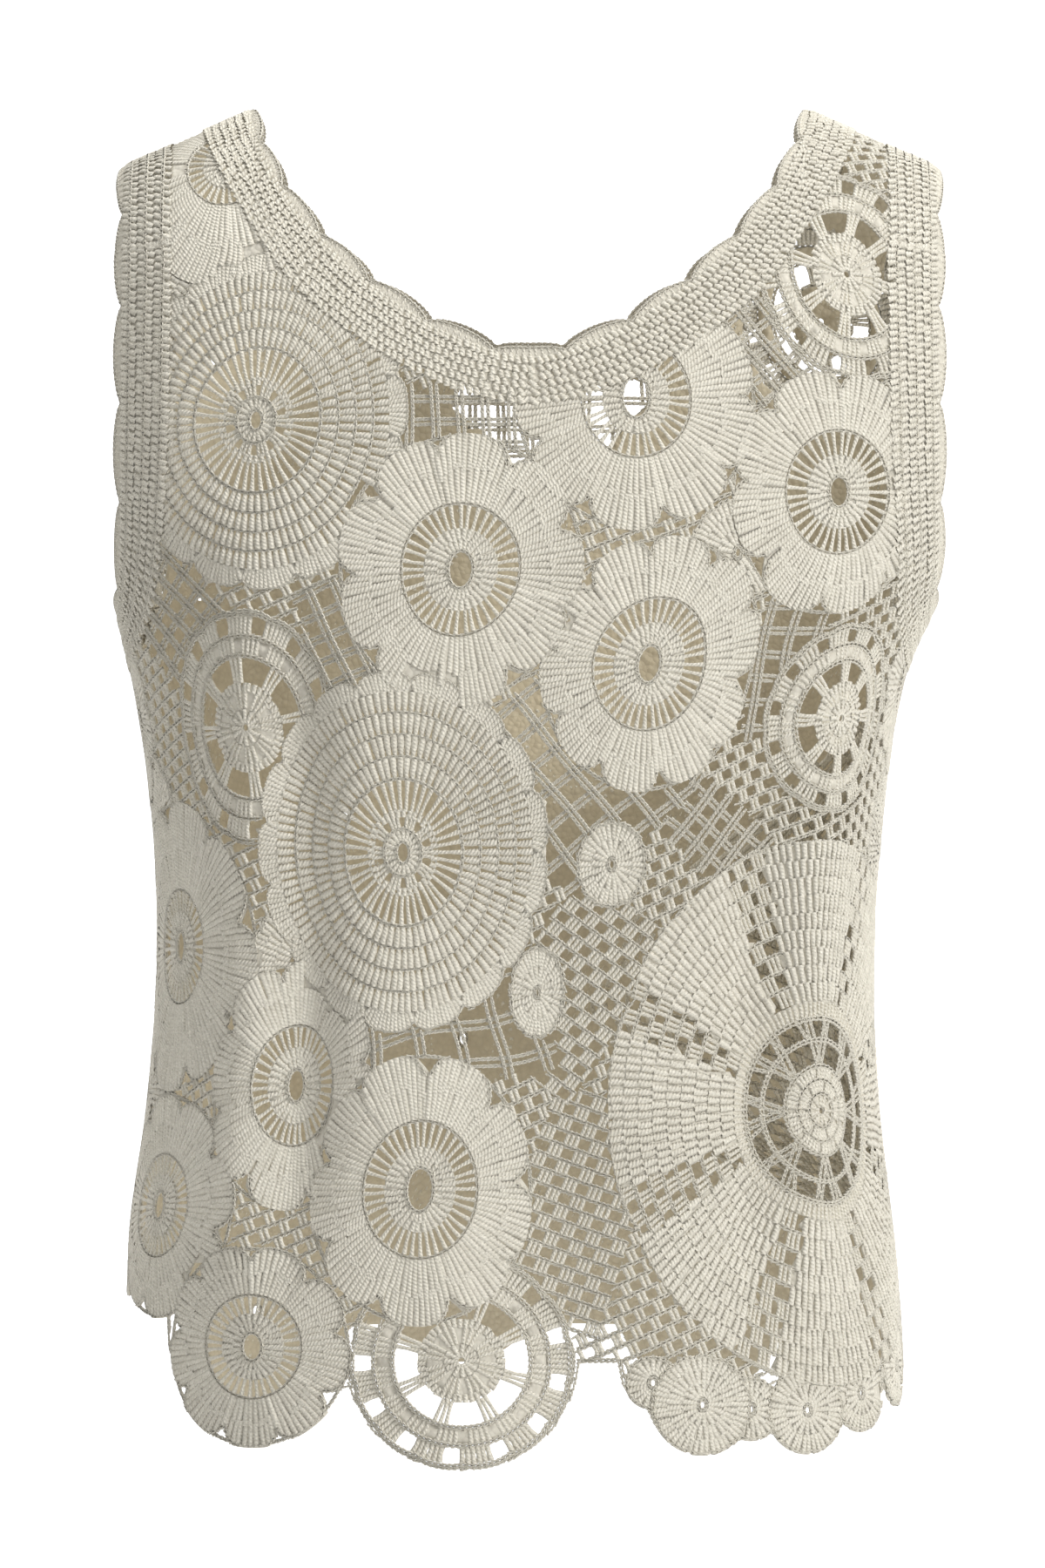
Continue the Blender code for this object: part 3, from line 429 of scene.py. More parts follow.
roundColumns = ("name", "kind", "x", "z", "radius", "eye", "ring", "bumps")
motifs = {
    "front": tableOf(
        roundColumns,
        ("wheelLow", "wheel", -51, -305, 66, 3.2, None, 17),
        ("flowerMidLeft", "flower", -28, -191, 50, 5.6, (15, 23.5), 9),
        ("flowerTopRight", "flower", 43, -121, 49, 6.3, (13.5, 21.5), 9),
        ("flowerMidRight", "flower", 48, -229, 47, 5.6, (15, 23.5), 10),
        ("flowerRight", "flower", 125, -159, 45, 4.6, (13.5, 22), 8),
        ("wheelTop", "wheel", -111, -130, 62, 3, None, 16),
        ("flowerLowMid", "flower", -44, -442, 50, 6.6, (15.5, 24.5), 9),
        ("flowerLowLeft", "flower", -95, -400, 46, 4.9, (14, 21.5), 8, {"wide": 0.78}),
        ("flowerHem", "flower", -112, -506, 41, 4.6, (13.5, 20.5), 9, {"onHem": True}),
        ("flowerSide", "flower", -141, -344, 54, 4.6, (13, 20.5), 8),
        ("flowerSideLow", "flower", -150, -450, 46, 4.6, (13, 20.5), 8, {"onHem": True}),
        ("flowerShoulder", "flower", -124, -24, 50, 4.4, (11, 18), 9),
        ("rosetteTop", "rosette", 129, -70, 40),
        ("rosetteLeft", "rosette", -112, -254, 43, {"wide": 0.84}),
        ("rosetteHem", "rosette", -27.5, -511, 44.5, {"onHem": True}),
        ("rosetteSide", "rosette", 122, -250, 35),
        ("fanSmall", "fan", 33, -310, 16, 2),
        ("doily", "doily", 114, -411, 100),
        ("fanHemA", "fan", 69, -529, 20.5, 2, {"onHem": True}),
        ("fanHemB", "fan", 112, -532, 18, 2, {"onHem": True}),
        ("fanHemC", "fan", 149, -516, 17, 2, {"onHem": True}),
        ("fanHemD", "fan", 134, -526, 16, 2, {"onHem": True}),
        ("fanHemE", "fan", 89, -531, 13, 2, {"onHem": True}),
        ("fanHemF", "fan", 49, -520, 11, 2, {"onHem": True}),
        ("fanTopMid", "fan", 84, -184, 20, 2),
        ("fanArm", "fan", -160, -60, 34, 3),
        ("flowerRightEdge", "flower", None, -236, 34, 4.1, (11, 17), 8, {"u": 196}),
        ("fanRightEdge", "fan", None, -304, 36, 3, {"u": 200}),
        ("flowerLeftEdge", "flower", None, -250, 34, 4.1, (11, 17), 8, {"u": -202}),
        ("fanLeftSide", "fan", None, -296, 30, 3, {"u": -184}),
        ("fanLeftLow", "fan", None, -404, 36, 3, {"u": -198}),
        ("fanBetween", "fan", -90, -352, 26, 3),
        ("fanMid", "fan", 3, -362, 17, 2, {"wide": 0.7})),
    "back": tableOf(
        roundColumns,
        ("rosetteBackTop", "rosette", 122, -84, 36),
        ("wheelBackTop", "wheel", 84, -176, 62, 2, None, 16),
        ("wheelBackMid", "wheel", -78, -290, 64, 2, None, 16),
        ("flowerBackH", "flower", -112, -500, 38, 2.2, (12.5, 19.5), 8, {"onHem": True}),
        ("rosetteBackC", "rosette", -30, -488, 34, {"onHem": True}),
        ("fanBackF", "fan", 72, -500, 34, 3, {"onHem": True}),
        ("flowerBackI", "flower", 130, -498, 34, 2.2, (12, 18.5), 8, {"onHem": True}),
        ("wheelBackLow", "wheel", 62, -420, 60, 2, None, 15),
        ("flowerBackA", "flower", 128, -22, 42, 2.2, (12, 19), 9),
        ("flowerBackB", "flower", -132, -100, 47, 2.2, (14, 22), 9),
        ("flowerBackC", "flower", -52, -170, 49, 2.2, (15, 23.5), 9),
        ("flowerBackD", "flower", 20, -262, 47, 2.2, (15, 23.5), 9),
        ("flowerBackE", "flower", 108, -288, 47, 2.2, (14, 22.5), 9),
        ("flowerBackF", "flower", -28, -385, 47, 2.2, (15, 23.5), 9),
        ("flowerBackG", "flower", 138, -392, 43, 2.2, (13, 21), 8),
        ("rosetteBackA", "rosette", -138, -200, 39),
        ("rosetteBackB", "rosette", -112, -398, 42),
        ("fanBackA", "fan", -84, -446, 30, 3),
        ("fanBackB", "fan", -144, -330, 36, 4),
        ("fanBackC", "fan", 150, -222, 34, 4),
        ("fanBackD", "fan", -110, -30, 40, 3),
        ("fanBackL", "fan", 8, -322, 22, 2),
        ("fanBackG", "fan", None, -262, 38, 3, {"u": -196}),
        ("flowerBackJ", "flower", None, -420, 38, 2.2, (12, 19), 8, {"u": -196}),
        ("fanBackH", "fan", None, -330, 38, 3, {"u": 200}),
        ("fanBackI", "fan", None, -492, 36, 3, {"u": -190}),
        ("fanBackK", "fan", None, -452, 38, 3, {"u": 192})),
}
patchColumns = ("name", "kind", "x", "z", "size", "turn", "pitch")
patches = {                     # open work between the motifs: half sizes, turn in degrees
    "front": tableOf(
        patchColumns,
        ("latticeTop", "lattice", -28, -131, (27, 16), 2, 9.5),
        ("latticeYoke", "lattice", 97, -100, (18, 26), 35, 8.5),
        ("latticeLeft", "lattice", -148, -204, (24, 28), 45, 9),
        ("latticeMid", "lattice", -68, -222, (18, 30), 24, 9.5),
        ("latticeKnots", "lattice", 18, -272, (34, 40), 40, 12),
        ("latticeRight", "lattice", 103, -225, (14, 36), 0, 10),
        ("latticeCross", "lattice", 78, -300, (30, 15), -38, 8.5),
        ("gridLow", "lattice", -30, -376, (40, 26), 12, 17, {"gap": 2.9, "wave": 1.5}),
        ("brickMid", "brick", 18, -360, (26, 40), -35, 10.5),
        ("brickLow", "brick", 18, -450, (24, 48), -20, 10.5)),
    "back": tableOf(
        patchColumns,
        ("latticeBackTop", "lattice", 12, -128, (40, 20), 0, 11),
        ("latticeBackSide", "lattice", 60, -236, (30, 22), 45, 11),
        ("latticeBackMid", "lattice", -18, -325, (34, 34), 40, 13),
        ("brickBackMid", "brick", 58, -345, (46, 30), -30, 11),
        ("brickBackLow", "brick", 2, -450, (30, 40), -30, 11)),
}
hang = {"wide": 0.92, "tall": 1.12}     # the cloth's own weight draws its rounds taller than wide
ovalEye = 0.16
bumpDepth = {"flower": 0.17, "wheel": 0.05, "rosette": 0.03, "fan": 0.06, "doily": 0.03}


def squeezeOf(motif, radius):           # how oval a round is: the eye most, the ring not at all
    eye = motif.get("eye")
    if eye is None:
        return np.zeros_like(radius)
    core = motif["ring"][0] if "ring" in motif else eye + 6
    return ovalEye * np.clip((core - radius) / (core - eye), 0, 1)


def hangOf(motif):                      # the rounds on the hem carry nothing, so they stay round
    return (1.0, 1.0) if motif.get("onHem") else (motif.get("wide", hang["wide"]), hang["tall"])


def at(motif, radius, angle):
    radius, angle = np.broadcast_arrays(np.asarray(radius, float), angle)
    squeeze, (wide, tall) = squeezeOf(motif, radius), hangOf(motif)
    return motif["centre"] + np.stack((radius * np.cos(angle) * wide * (1 - squeeze),
                                       radius * np.sin(angle) * tall * (1 + squeeze)), -1)


def polar(motif, points):
    x, y = (points - motif["centre"]).T / np.array(hangOf(motif))[:, None]
    squeeze = squeezeOf(motif, np.hypot(x, y))
    return np.hypot(x / (1 - squeeze), y / (1 + squeeze)), np.arctan2(y, x)


def evenRound(steps):
    return np.arange(steps) * 2 * math.pi / steps


def petalReach(motif, angle):       # how far the scalloped edge of a motif lies from its middle
    phase = np.mod((angle - motif["turn"]) * motif.get("bumps", 14) / (2 * math.pi), 1) * 2 - 1
    return motif["radius"] * (1 - bumpDepth[motif["kind"]] * np.abs(phase) ** 4)


def postsAt(yarn, motif, inner, outer, angle, slant=0.0, **options):
    yarn.posts(at(motif, inner, angle), at(motif, outer, angle + slant), **options)


def groupsOfPosts(yarn, motif, inner, outer, count, spread, turn=0.0, **options):
    for k in range(count):
        postsAt(yarn, motif, inner, outer, turn + k * 2 * math.pi / count + np.array(spread), **options)


def roundOfPosts(yarn, motif, inner, outer, pitch, **options):
    count = max(int(round(math.pi * (inner + outer) / pitch)), 5)
    angle = evenRound(count) + yarn.rng.normal(0, 0.07, count) * 2 * math.pi / count
    wobble = yarn.rng.normal(0, 0.15, count)
    postsAt(yarn, motif, inner + wobble, outer + wobble, angle, **options)


def roundOfChain(yarn, motif, radius, **options):
    yarn.chain(at(motif, radius, evenRound(96)), closed=True, **options)


def edgeOfChain(yarn, motif, inset, steps, **options):
    angle = evenRound(steps)
    yarn.chain(at(motif, petalReach(motif, angle) - inset, angle), closed=True, **options)


def makeFlower(yarn, motif):
    eye, (ringIn, ringOut) = motif["eye"], motif["ring"]
    across = np.linspace(-1, 1, 40)
    roundOfChain(yarn, motif, eye + 0.5, pitch=2.2, width=1.2, lift=1.6)
    split = (eye + ringIn) / 2
    roundOfPosts(yarn, motif, eye + 1, split, 2.0, thick=1.25, rise=0.45, lift=1.2)
    roundOfPosts(yarn, motif, split - 0.4, ringIn - 0.2, 2.3, thick=1.4, rise=0.45, lift=1.2)
    roundOfPosts(yarn, motif, ringIn - 0.4, ringOut, 3.0, thick=0.82, sides=5, lift=0.9, head=1.3)
    roundOfChain(yarn, motif, ringOut + 0.6, pitch=2.8, width=1.4, thick=0.5, lift=1.45)
    bumps, radius = motif["bumps"], motif["radius"]
    half = math.pi / bumps
    for petal in range(bumps):
        middle = motif["turn"] + (petal + 0.5) * 2 * half
        sway = yarn.rng.normal(0, 0.02)
        edge = petalReach(motif, middle + np.linspace(-0.999, 0.999, 40) * half) - 1
        for low, high, pitch in ((0.0, 0.56, 2.1), (0.5, 1.0, 2.2)):
            spread = 2 * half * (ringOut + (radius - ringOut) * (low + high) / 2)
            count = max(int(round(spread / pitch)), 4)
            phase = np.linspace(-1, 1, count) * (1 - 0.4 / count)
            reach = np.interp(phase, across, edge) - ringOut - 1
            angle = middle + phase * half + sway * (low + high) + yarn.rng.normal(0, 0.004, count)
            inner = ringOut + 0.8 + reach * low + yarn.rng.normal(0, 0.7, count) * (low > 0)
            outer = ringOut + 1.4 + reach * high
            postsAt(yarn, motif, inner, outer, angle, lift=1.25 + 0.15 * (phase + 1) + 0.2 * low, thick=1.55,
                    arch=0.1, pinch=1.0, rise=0.4)
        yarn.chain(at(motif, edge + 0.5, middle + across * half + sway * 1.5), pitch=2.3, width=1.4, thick=0.6,
                   lift=1.7)
    roundOfChain(yarn, motif, radius * 0.965, pitch=2.3, width=1.2, thick=0.5, lift=1.3)


wheelRounds = {"hub": 5.4, "holes": 10, "ring": 11.6, "posts": 11.5, "shells": 8, "close": 4}     # from the eye out


def makeWheel(yarn, motif):
    eye, radius, look = motif["eye"], motif["radius"], wheelRounds
    roundOfChain(yarn, motif, eye + 0.4, pitch=2.0, width=1.1, lift=1.5)
    roundOfPosts(yarn, motif, eye + 0.8, eye + look["hub"], 2.0, thick=1.2, rise=0.5, lift=1.2)
    roundOfChain(yarn, motif, eye + 5.2, pitch=2.2, width=1.3, thick=0.5, lift=1.6)
    groupsOfPosts(yarn, motif, eye + 5.6, eye + 10.6, look["holes"], (-0.14, 0.0, 0.14), motif["turn"],
                  thick=0.95, rise=0.7)         # a small hole after each group
    roundOfPosts(yarn, motif, eye + 9.6, eye + 12.4, 2.4, thick=1.2, rise=0.6, lift=1.2)
    first = eye + look["ring"]
    last = first + look["posts"]
    roundOfPosts(yarn, motif, first, last, 3.0, thick=0.86, sides=5, lift=0.95, head=1.35)
    edge = radius - look["shells"]
    height = (edge - last) / look["close"]
    for k in range(look["close"]):
        inner = last + k * height
        roundOfPosts(yarn, motif, inner + 0.7, inner + height + 0.2, 2.85, thick=1.5, arch=0.4, foot=0.58, pinch=1.0,
                     lift=1.15, rise=0.62, head=1.06)
        roundOfChain(yarn, motif, inner + 0.4, pitch=2.85, width=1.1, thick=0.55, lift=1.3)
    bumps = motif["bumps"]
    half = math.pi / bumps
    phase = np.linspace(-1, 1, 13)
    for shell in range(bumps):
        middle = motif["turn"] + (shell + 0.5) * 2 * half
        reach = petalReach(motif, middle + phase * half * 0.999) - 0.8
        yarn.posts(at(motif, edge, middle + phase * half * 0.8), at(motif, reach, middle + phase * half * 0.96),
                   lift=1.2, thick=1.4, rise=0.4)
        yarn.chain(at(motif, reach + 0.5, middle + phase * half), pitch=2.3, width=1.4, thick=0.55, lift=1.6)


rosetteRounds = {"radius": 39, "core": 14, "spokes": 8,         # as drawn; the blocks' radii, count and share
                 "blocks": ((24, 29.6, 16, 0.72), (30.4, 36.4, 13, 0.66))}


def makeRosette(yarn, motif):
    look, turn = rosetteRounds, motif["turn"]
    scale, spokes = motif["radius"] / look["radius"], look["spokes"]
    roundOfPosts(yarn, motif, 1.5, 6.6, 2.1, thick=1.2, rise=0.5, lift=1.2)
    core = look["core"] * scale
    groupsOfPosts(yarn, motif, 7, core - 2, spokes, (-0.2, 0.0, 0.2), turn, thick=1.05)
    roundOfPosts(yarn, motif, core - 2.4, core + 0.9, 2.2, thick=1.25, rise=0.55, lift=1.2)
    groupsOfPosts(yarn, motif, core + 0.8, 23.5 * scale, spokes, (-0.09, 0.0, 0.09), turn, thick=0.95, lift=1.1,
                  sides=5)                      # long posts with a wide hole after each group
    for inner, outer, blocks, share in look["blocks"]:
        width = 2 * math.pi / blocks * share    # blocks with a small gap after each
        count = max(int(round((inner + outer) / 2 * scale * width / 2.05)), 3)
        groupsOfPosts(yarn, motif, inner * scale, outer * scale, blocks, (np.arange(count) + 0.5) * width / count,
                      turn, thick=1.25, rise=0.55)
    for radius in (23.6, 30):
        roundOfChain(yarn, motif, radius * scale, pitch=2.4, width=1.6, thick=0.6, lift=1.6)
    for inset in (1.8, 0.2):
        edgeOfChain(yarn, motif, inset, 140, pitch=2.4, width=1.6, thick=0.6, lift=1.5 + inset * 0.15)


def makeFan(yarn, motif):
    eye, radius = motif["eye"], motif["radius"]
    rounds = max(int(round((radius - eye) / 6.4)), 1)
    height = (radius - eye - 1.5) / rounds
    roundOfChain(yarn, motif, eye, pitch=2.0, width=1.2, lift=1.6)
    for k in range(rounds):
        inner = eye + 0.8 + k * height
        roundOfPosts(yarn, motif, inner, inner + height + 0.3, 2.15, thick=1.4, arch=0.2, pinch=0.95, rise=0.42,
                     lift=1.2)
    edgeOfChain(yarn, motif, 0.6, 120, pitch=2.3, width=1.5, lift=1.7)


doilyRounds = {"core": 17, "holes": 34, "rim": 40, "sectors": 8, "height": 6.3, "firstSector": 0.48,
               "closeShare": 0.74, "divider": 26}


def denseSector(motif, angle):          # whether an angle lies in one of the doily's close sectors
    turns = (angle - doilyRounds["firstSector"]) * doilyRounds["sectors"] / (2 * math.pi)
    return np.mod(turns, 1) < doilyRounds["closeShare"]


def makeDoily(yarn, motif):
    look, radius = doilyRounds, motif["radius"]
    roundOfPosts(yarn, motif, 1.5, 6, 2.1, thick=0.95)
    roundOfChain(yarn, motif, 6.5, pitch=2.2, lift=1.8)
    for inner, outer, blocks in ((7, 11, 7), (12, look["core"] - 1, 9)):
        groupsOfPosts(yarn, motif, inner, outer, blocks, np.linspace(-0.3, 0.3, 5) * 7 / blocks, thick=1.3,
                      rise=0.5, lift=1.2)
        roundOfChain(yarn, motif, outer + 0.4, pitch=2.4, width=1.6, thick=0.6, lift=1.65)
    for k in range(8):                          # crossed double bars in the wide holes
        for slant in (-0.16, 0.16):
            ends = k * math.pi / 4 + np.array((0.0, slant))
            line = at(motif, np.array((look["core"], look["holes"])), ends)
            yarn.cord(line[0] + (line[1] - line[0]) * np.linspace(0, 1, 6)[:, None], gap=2.2, pitch=2.3, width=1.0,
                      thick=0.55, lift=1.4)
    for k in range(16):                         # single cords between them, tied to a thin round
        ends = (k + 0.5) * math.pi / 8 + np.array((0.0, 0.1))
        line = at(motif, np.array((look["divider"], look["holes"])), ends)
        yarn.chain(line, pitch=2.3, width=1.2, thick=0.6, lift=1.3)
    roundOfChain(yarn, motif, look["divider"], pitch=2.3, width=1.7, thick=0.7, lift=1.6)
    roundOfChain(yarn, motif, look["holes"], pitch=2.4, width=1.9, thick=0.7, lift=1.7)
    roundOfPosts(yarn, motif, look["holes"] + 0.4, look["rim"], 2.15, thick=1.1)
    rounds = int((radius - look["rim"]) / look["height"])
    height = (radius - 1.5 - look["rim"]) / rounds
    sector = 2 * math.pi / look["sectors"]
    close, loose = sector * look["closeShare"], sector * (1 - look["closeShare"])
    for k in range(rounds):
        inner = look["rim"] + 0.4 + k * height
        middle = inner + height / 2
        for s in range(look["sectors"]):
            start = look["firstSector"] + s * sector
            count = max(int(round(middle * close / 2.9)), 4)
            angle = start + (np.arange(count) + 0.25 + 0.5 * (k % 2)) * close / count
            angle = angle + yarn.rng.normal(0, 0.22, count) / middle
            foot = inner + yarn.rng.normal(0, 0.25, count)
            postsAt(yarn, motif, foot, foot + height + 0.3, angle, 0.5 / middle, thick=1.6, arch=0.35, foot=0.78,
                    pinch=0.98, rise=0.55, lift=1.2, head=1.1)
            blocks = max(int(round(middle * loose / 10)), 1)
            for b in range(blocks):
                centre = start + close + (b + 0.3 + 0.4 * (k % 2)) * loose / blocks
                angle = centre + np.array((-2.0, 0.0, 2.0)) / middle
                postsAt(yarn, motif, inner, inner + height - 0.5, angle, 0.01, thick=1.05)
            angle = start + close + np.linspace(0, 1, 14) * loose
            yarn.chain(at(motif, inner + height, angle), pitch=2.4, width=1.5, thick=0.55, lift=1.5)
    edgeOfChain(yarn, motif, 0.4, 200, pitch=2.4, width=1.6, lift=1.7)


def turned(points, centre, degrees):
    cos, sin = math.cos(math.radians(degrees)), math.sin(math.radians(degrees))
    x, y = points[..., 0], points[..., 1]
    return centre + np.stack((x * cos - y * sin, x * sin + y * cos), -1)


def makeLattice(yarn, patch):
    reach = np.hypot(*patch["size"]) + 6
    pitch = patch["pitch"]
    lines = np.arange(-int(reach / pitch), int(reach / pitch) + 1) * pitch
    steps = np.linspace(-reach, reach, int(2 * reach / 3))
    for k, off in enumerate(lines):
        for flip in (False, True):
            line = np.stack((steps, np.full_like(steps, off) + np.sin(steps / 9 + k) * patch.get("wave", 0.5)), -1)
            line = line[:, ::-1] if flip else line
            yarn.cord(turned(line, patch["centre"], patch["turn"]), gap=patch.get("gap", 2.1), pitch=2.4, width=0.9,
                      thick=0.55, lift=1.9 if flip else 1.1)


brickLook = {"steps": (-2.0, 0.0, 2.0), "lean": 0.3, "gap": 0.5, "thick": 1.05, "corners": 40,
             "chain": {"pitch": 2.4, "width": 1.4, "thick": 0.5, "lift": 1.5}}
netLook = {"steps": (-1.7, 0.4), "lean": 0.2, "gap": 0.6, "thick": 1.1, "corners": 240,
           "chain": {"pitch": 2.5, "width": 1.5, "thick": 0.6, "lift": 1.4},
           "pitch": 8.2, "height": 5.6, "reach": 340, "rows": 62, "blocks": 42, "middle": (0.0, -260.0),
           "turn": {"front": 24, "back": -20}}


def layBlocks(yarn, look, centre, turn, pitch, height, reach, rows, blocks):    # posts on rows of chain
    for row in range(-rows, rows + 1):
        y = row * height
        starts = np.arange(-blocks, blocks + 1) * pitch + (row % 2) * pitch / 2
        for step in look["steps"]:
            foot = np.stack((starts + step, np.full_like(starts, y + 0.3)), -1)
            head = foot + (look["lean"], height - look["gap"])
            yarn.posts(turned(foot, centre, turn), turned(head, centre, turn), thick=look["thick"])
        line = np.stack((np.linspace(-reach, reach, look["corners"]), np.full(look["corners"], y)), -1)
        yarn.chain(turned(line, centre, turn), **look["chain"])


def makeBrick(yarn, patch):
    pitch = patch["pitch"]
    reach, height = np.hypot(*patch["size"]) + 6, pitch * 0.55
    layBlocks(yarn, brickLook, patch["centre"], patch["turn"], pitch, height, reach, int(reach / height),
              int(reach / pitch))


def makeNet(yarn, side):            # the net that joins the motifs
    layBlocks(yarn, netLook, np.array(netLook["middle"]), netLook["turn"][side],
              *(netLook[k] for k in ("pitch", "height", "reach", "rows", "blocks")))


makers = {"flower": makeFlower, "wheel": makeWheel, "rosette": makeRosette, "fan": makeFan, "doily": makeDoily,
          "lattice": makeLattice, "brick": makeBrick}


def ownerOf(side, points):          # the number of the motif, or patch, that a flat point belongs to, or -1
    owner = np.full(len(points), -1)
    for k, motif in enumerate(motifs[side]):
        radius, angle = polar(motif, points)
        edge = petalReach(motif, angle)
        if motif["kind"] == "flower":
            edge = motif["radius"] * (1.01 if motif.get("onHem") else 0.975)
        owner[(owner < 0) & (radius < edge)] = k
    for k, patch in enumerate(patches[side], len(motifs[side])):
        off = turned(points - patch["centre"], np.zeros(2), -patch["turn"])
        inside = (np.abs(off) < patch["size"]).all(axis=1)
        owner[(owner < 0) & inside] = k
    return owner


def closeRounds(motif):             # from where to where a motif's stitches lie too close for light to pass
    eye, radius = motif.get("eye", 0), motif["radius"]
    if motif["kind"] == "flower":
        return (eye + 0.7, motif["ring"][0]), (motif["ring"][1] + 0.6, radius)
    if motif["kind"] == "wheel":
        return (eye + 0.6, eye + wheelRounds["hub"]), (radius - wheelRounds["shells"], radius)
    if motif["kind"] == "fan":
        return (eye, radius),
    if motif["kind"] == "rosette":
        scale, (inner, outer, _, _) = radius / rosetteRounds["radius"], rosetteRounds["blocks"][0]
        return (1.2, rosetteRounds["core"] * scale), (inner * scale, outer * scale)
    return (1.2, 6.2), (7, doilyRounds["core"] - 1), (doilyRounds["holes"], doilyRounds["rim"])


openBehind = ("rosetteBackTop", "latticeBackTop")       # where light comes through the back too


def isBacked(side, points, owner):
    backed = np.zeros(len(points), bool)
    for k, motif in enumerate(motifs[side]):
        mine = np.flatnonzero(owner == k)
        radius, angle = polar(motif, points[mine])
        close = np.zeros(len(mine), bool)
        for low, high in closeRounds(motif):
            close |= (radius > low) & (radius < high)
        if motif["kind"] == "doily":
            close |= (radius > doilyRounds["rim"]) & denseSector(motif, angle)
        # On the back the sheet also closes the open rings and the net, so the front's holes show its inner face in the
        # khaki painted-shade colour.
        if side == "back" and motif["name"] not in openBehind:
            close |= radius > motif.get("eye", 0) + 0.7
        backed[mine] = close & ((side == "back") | (radius < petalReach(motif, angle)))
    if side == "back":
        openOnes = [k for k, patch in enumerate(patches[side], len(motifs[side])) if patch["name"] in openBehind]
        backed |= ((owner < 0) | (owner >= len(motifs[side]))) & ~np.isin(owner, openOnes)
    return backed


for side in motifs:
    for k, item in enumerate(motifs[side] + patches[side]):
        item["centre"] = np.array((item["u"], item["z"])) if "u" in item else form.flatAt(item["x"], item["z"])
        item.setdefault("turn", 0.37 * k)
outlines = {side: panelOutline(side) for side in motifs}
yarnOutlines = {side: panelOutline(side, 6.0) for side in motifs}


# Cotton

class Socket:                   # a shader value that takes part in Python sums
    def __init__(self, shader, socket):
        self.shader, self.socket = shader, socket

    def maths(self, operation, first, second):
        return self.shader.node("ShaderNodeMath", {"operation": operation}, {0: first, 1: second})[0]

    def __add__(self, other): return self.maths("ADD", self, other)
    def __radd__(self, other): return self.maths("ADD", other, self)
    def __sub__(self, other): return self.maths("SUBTRACT", self, other)
    def __rsub__(self, other): return self.maths("SUBTRACT", other, self)
    def __mul__(self, other): return self.maths("MULTIPLY", self, other)
    def __rmul__(self, other): return self.maths("MULTIPLY", other, self)


class Shader:
    def __init__(self, name):
        self.material = bpy.data.materials.new(name)
        self.material.use_nodes = True
        self.tree = self.material.node_tree
        self.surface = self.tree.nodes["Principled BSDF"]

    def node(self, kind, settings=None, inputs=None):
        made = self.tree.nodes.new(kind)
        for key, value in (settings or {}).items():
            setattr(made, key, value)
        self.feed(made, inputs or {})
        return [Socket(self, output) for output in made.outputs if output.enabled]

    def feed(self, target, values):
        for key, value in values.items():
            if isinstance(value, Socket):
                self.tree.links.new(value.socket, target.inputs[key])
            else:
                target.inputs[key].default_value = value

    def mix(self, factor, first, second):
        return self.node("ShaderNodeMix", {"data_type": "RGBA"}, {0: factor, 6: (*first, 1), 7: (*second, 1)})[0]

    def noise(self, vector, scale, detail):
        return self.node("ShaderNodeTexNoise", None, {"Vector": vector, "Scale": scale, "Detail": detail})[0]

    def bump(self, strength, height):
        return self.node("ShaderNodeBump", None, {"Strength": strength, "Distance": 1.0, "Height": height})[0]


# The yarn runs between its own deep and light tones. under and underShadeDeep colour the ground sheet darker than the
# yarn: painted shade between the stitches.
cottonLook = {
    "light": (0.88, 0.838, 0.725), "deep": (0.60, 0.56, 0.465), "under": (0.80, 0.76, 0.66),
    "underShadeDeep": (0.66, 0.62, 0.52), "inside": (0.70, 0.625, 0.465), "insideShadeDeep": (0.58, 0.51, 0.375),
    "roughness": 0.86, "plyPitch": 1.5, "plyHeight": 0.00018, "grainHeight": 0.00042, "grain": 1.5,
}


def yarnCotton(name, paintedLightScale=1.0):
    look = cottonLook
    shader = Shader(name)
    spot = shader.node("ShaderNodeNewGeometry")[0]
    ply = shader.node("ShaderNodeUVMap", {"uv_map": "Ply"})[0]
    parts = shader.node("ShaderNodeSeparateXYZ", None, {0: ply})
    tone = shader.node("ShaderNodeAttribute", {"attribute_name": "tone"})[2]
    broad = shader.noise(spot, 22.0, 2.0)
    alongYarn = shader.node("ShaderNodeCombineXYZ", None, {0: parts[0] * 2.6, 1: parts[1] * 0.95, 2: tone * 40})[0]
    grain = shader.noise(alongYarn, 1.0, 3.0)
    turn = (parts[0] * 2 + parts[1] * (1 / look["plyPitch"])) * (2 * math.pi)
    strand = shader.node("ShaderNodeMath", {"operation": "SINE"}, {0: turn})[0]
    # The weight holds the stitch's random tone and broad blotches, the yarn's own tone, and painted shade: the ply
    # twist and the grain darken it where their bump sinks, in the grooves between plies and fibres; the grain is
    # partly the cotton's own flecks.
    weight = tone * 0.4 + broad * 0.3 + (grain - 0.5) * look["grain"] + strand * 0.06 + 0.35
    colour = shader.mix(weight, tuple(c * paintedLightScale for c in look["deep"]), tuple(c * paintedLightScale for c in look["light"]))
    height = strand * look["plyHeight"] + grain * look["grainHeight"]
    shader.feed(shader.surface, {"Base Color": colour, "Roughness": look["roughness"] + grain * 0.1,
                                 "Normal": shader.bump(0.8, height), "Sheen Weight": 0.12, "Specular IOR Level": 0.3})
    return shader.material


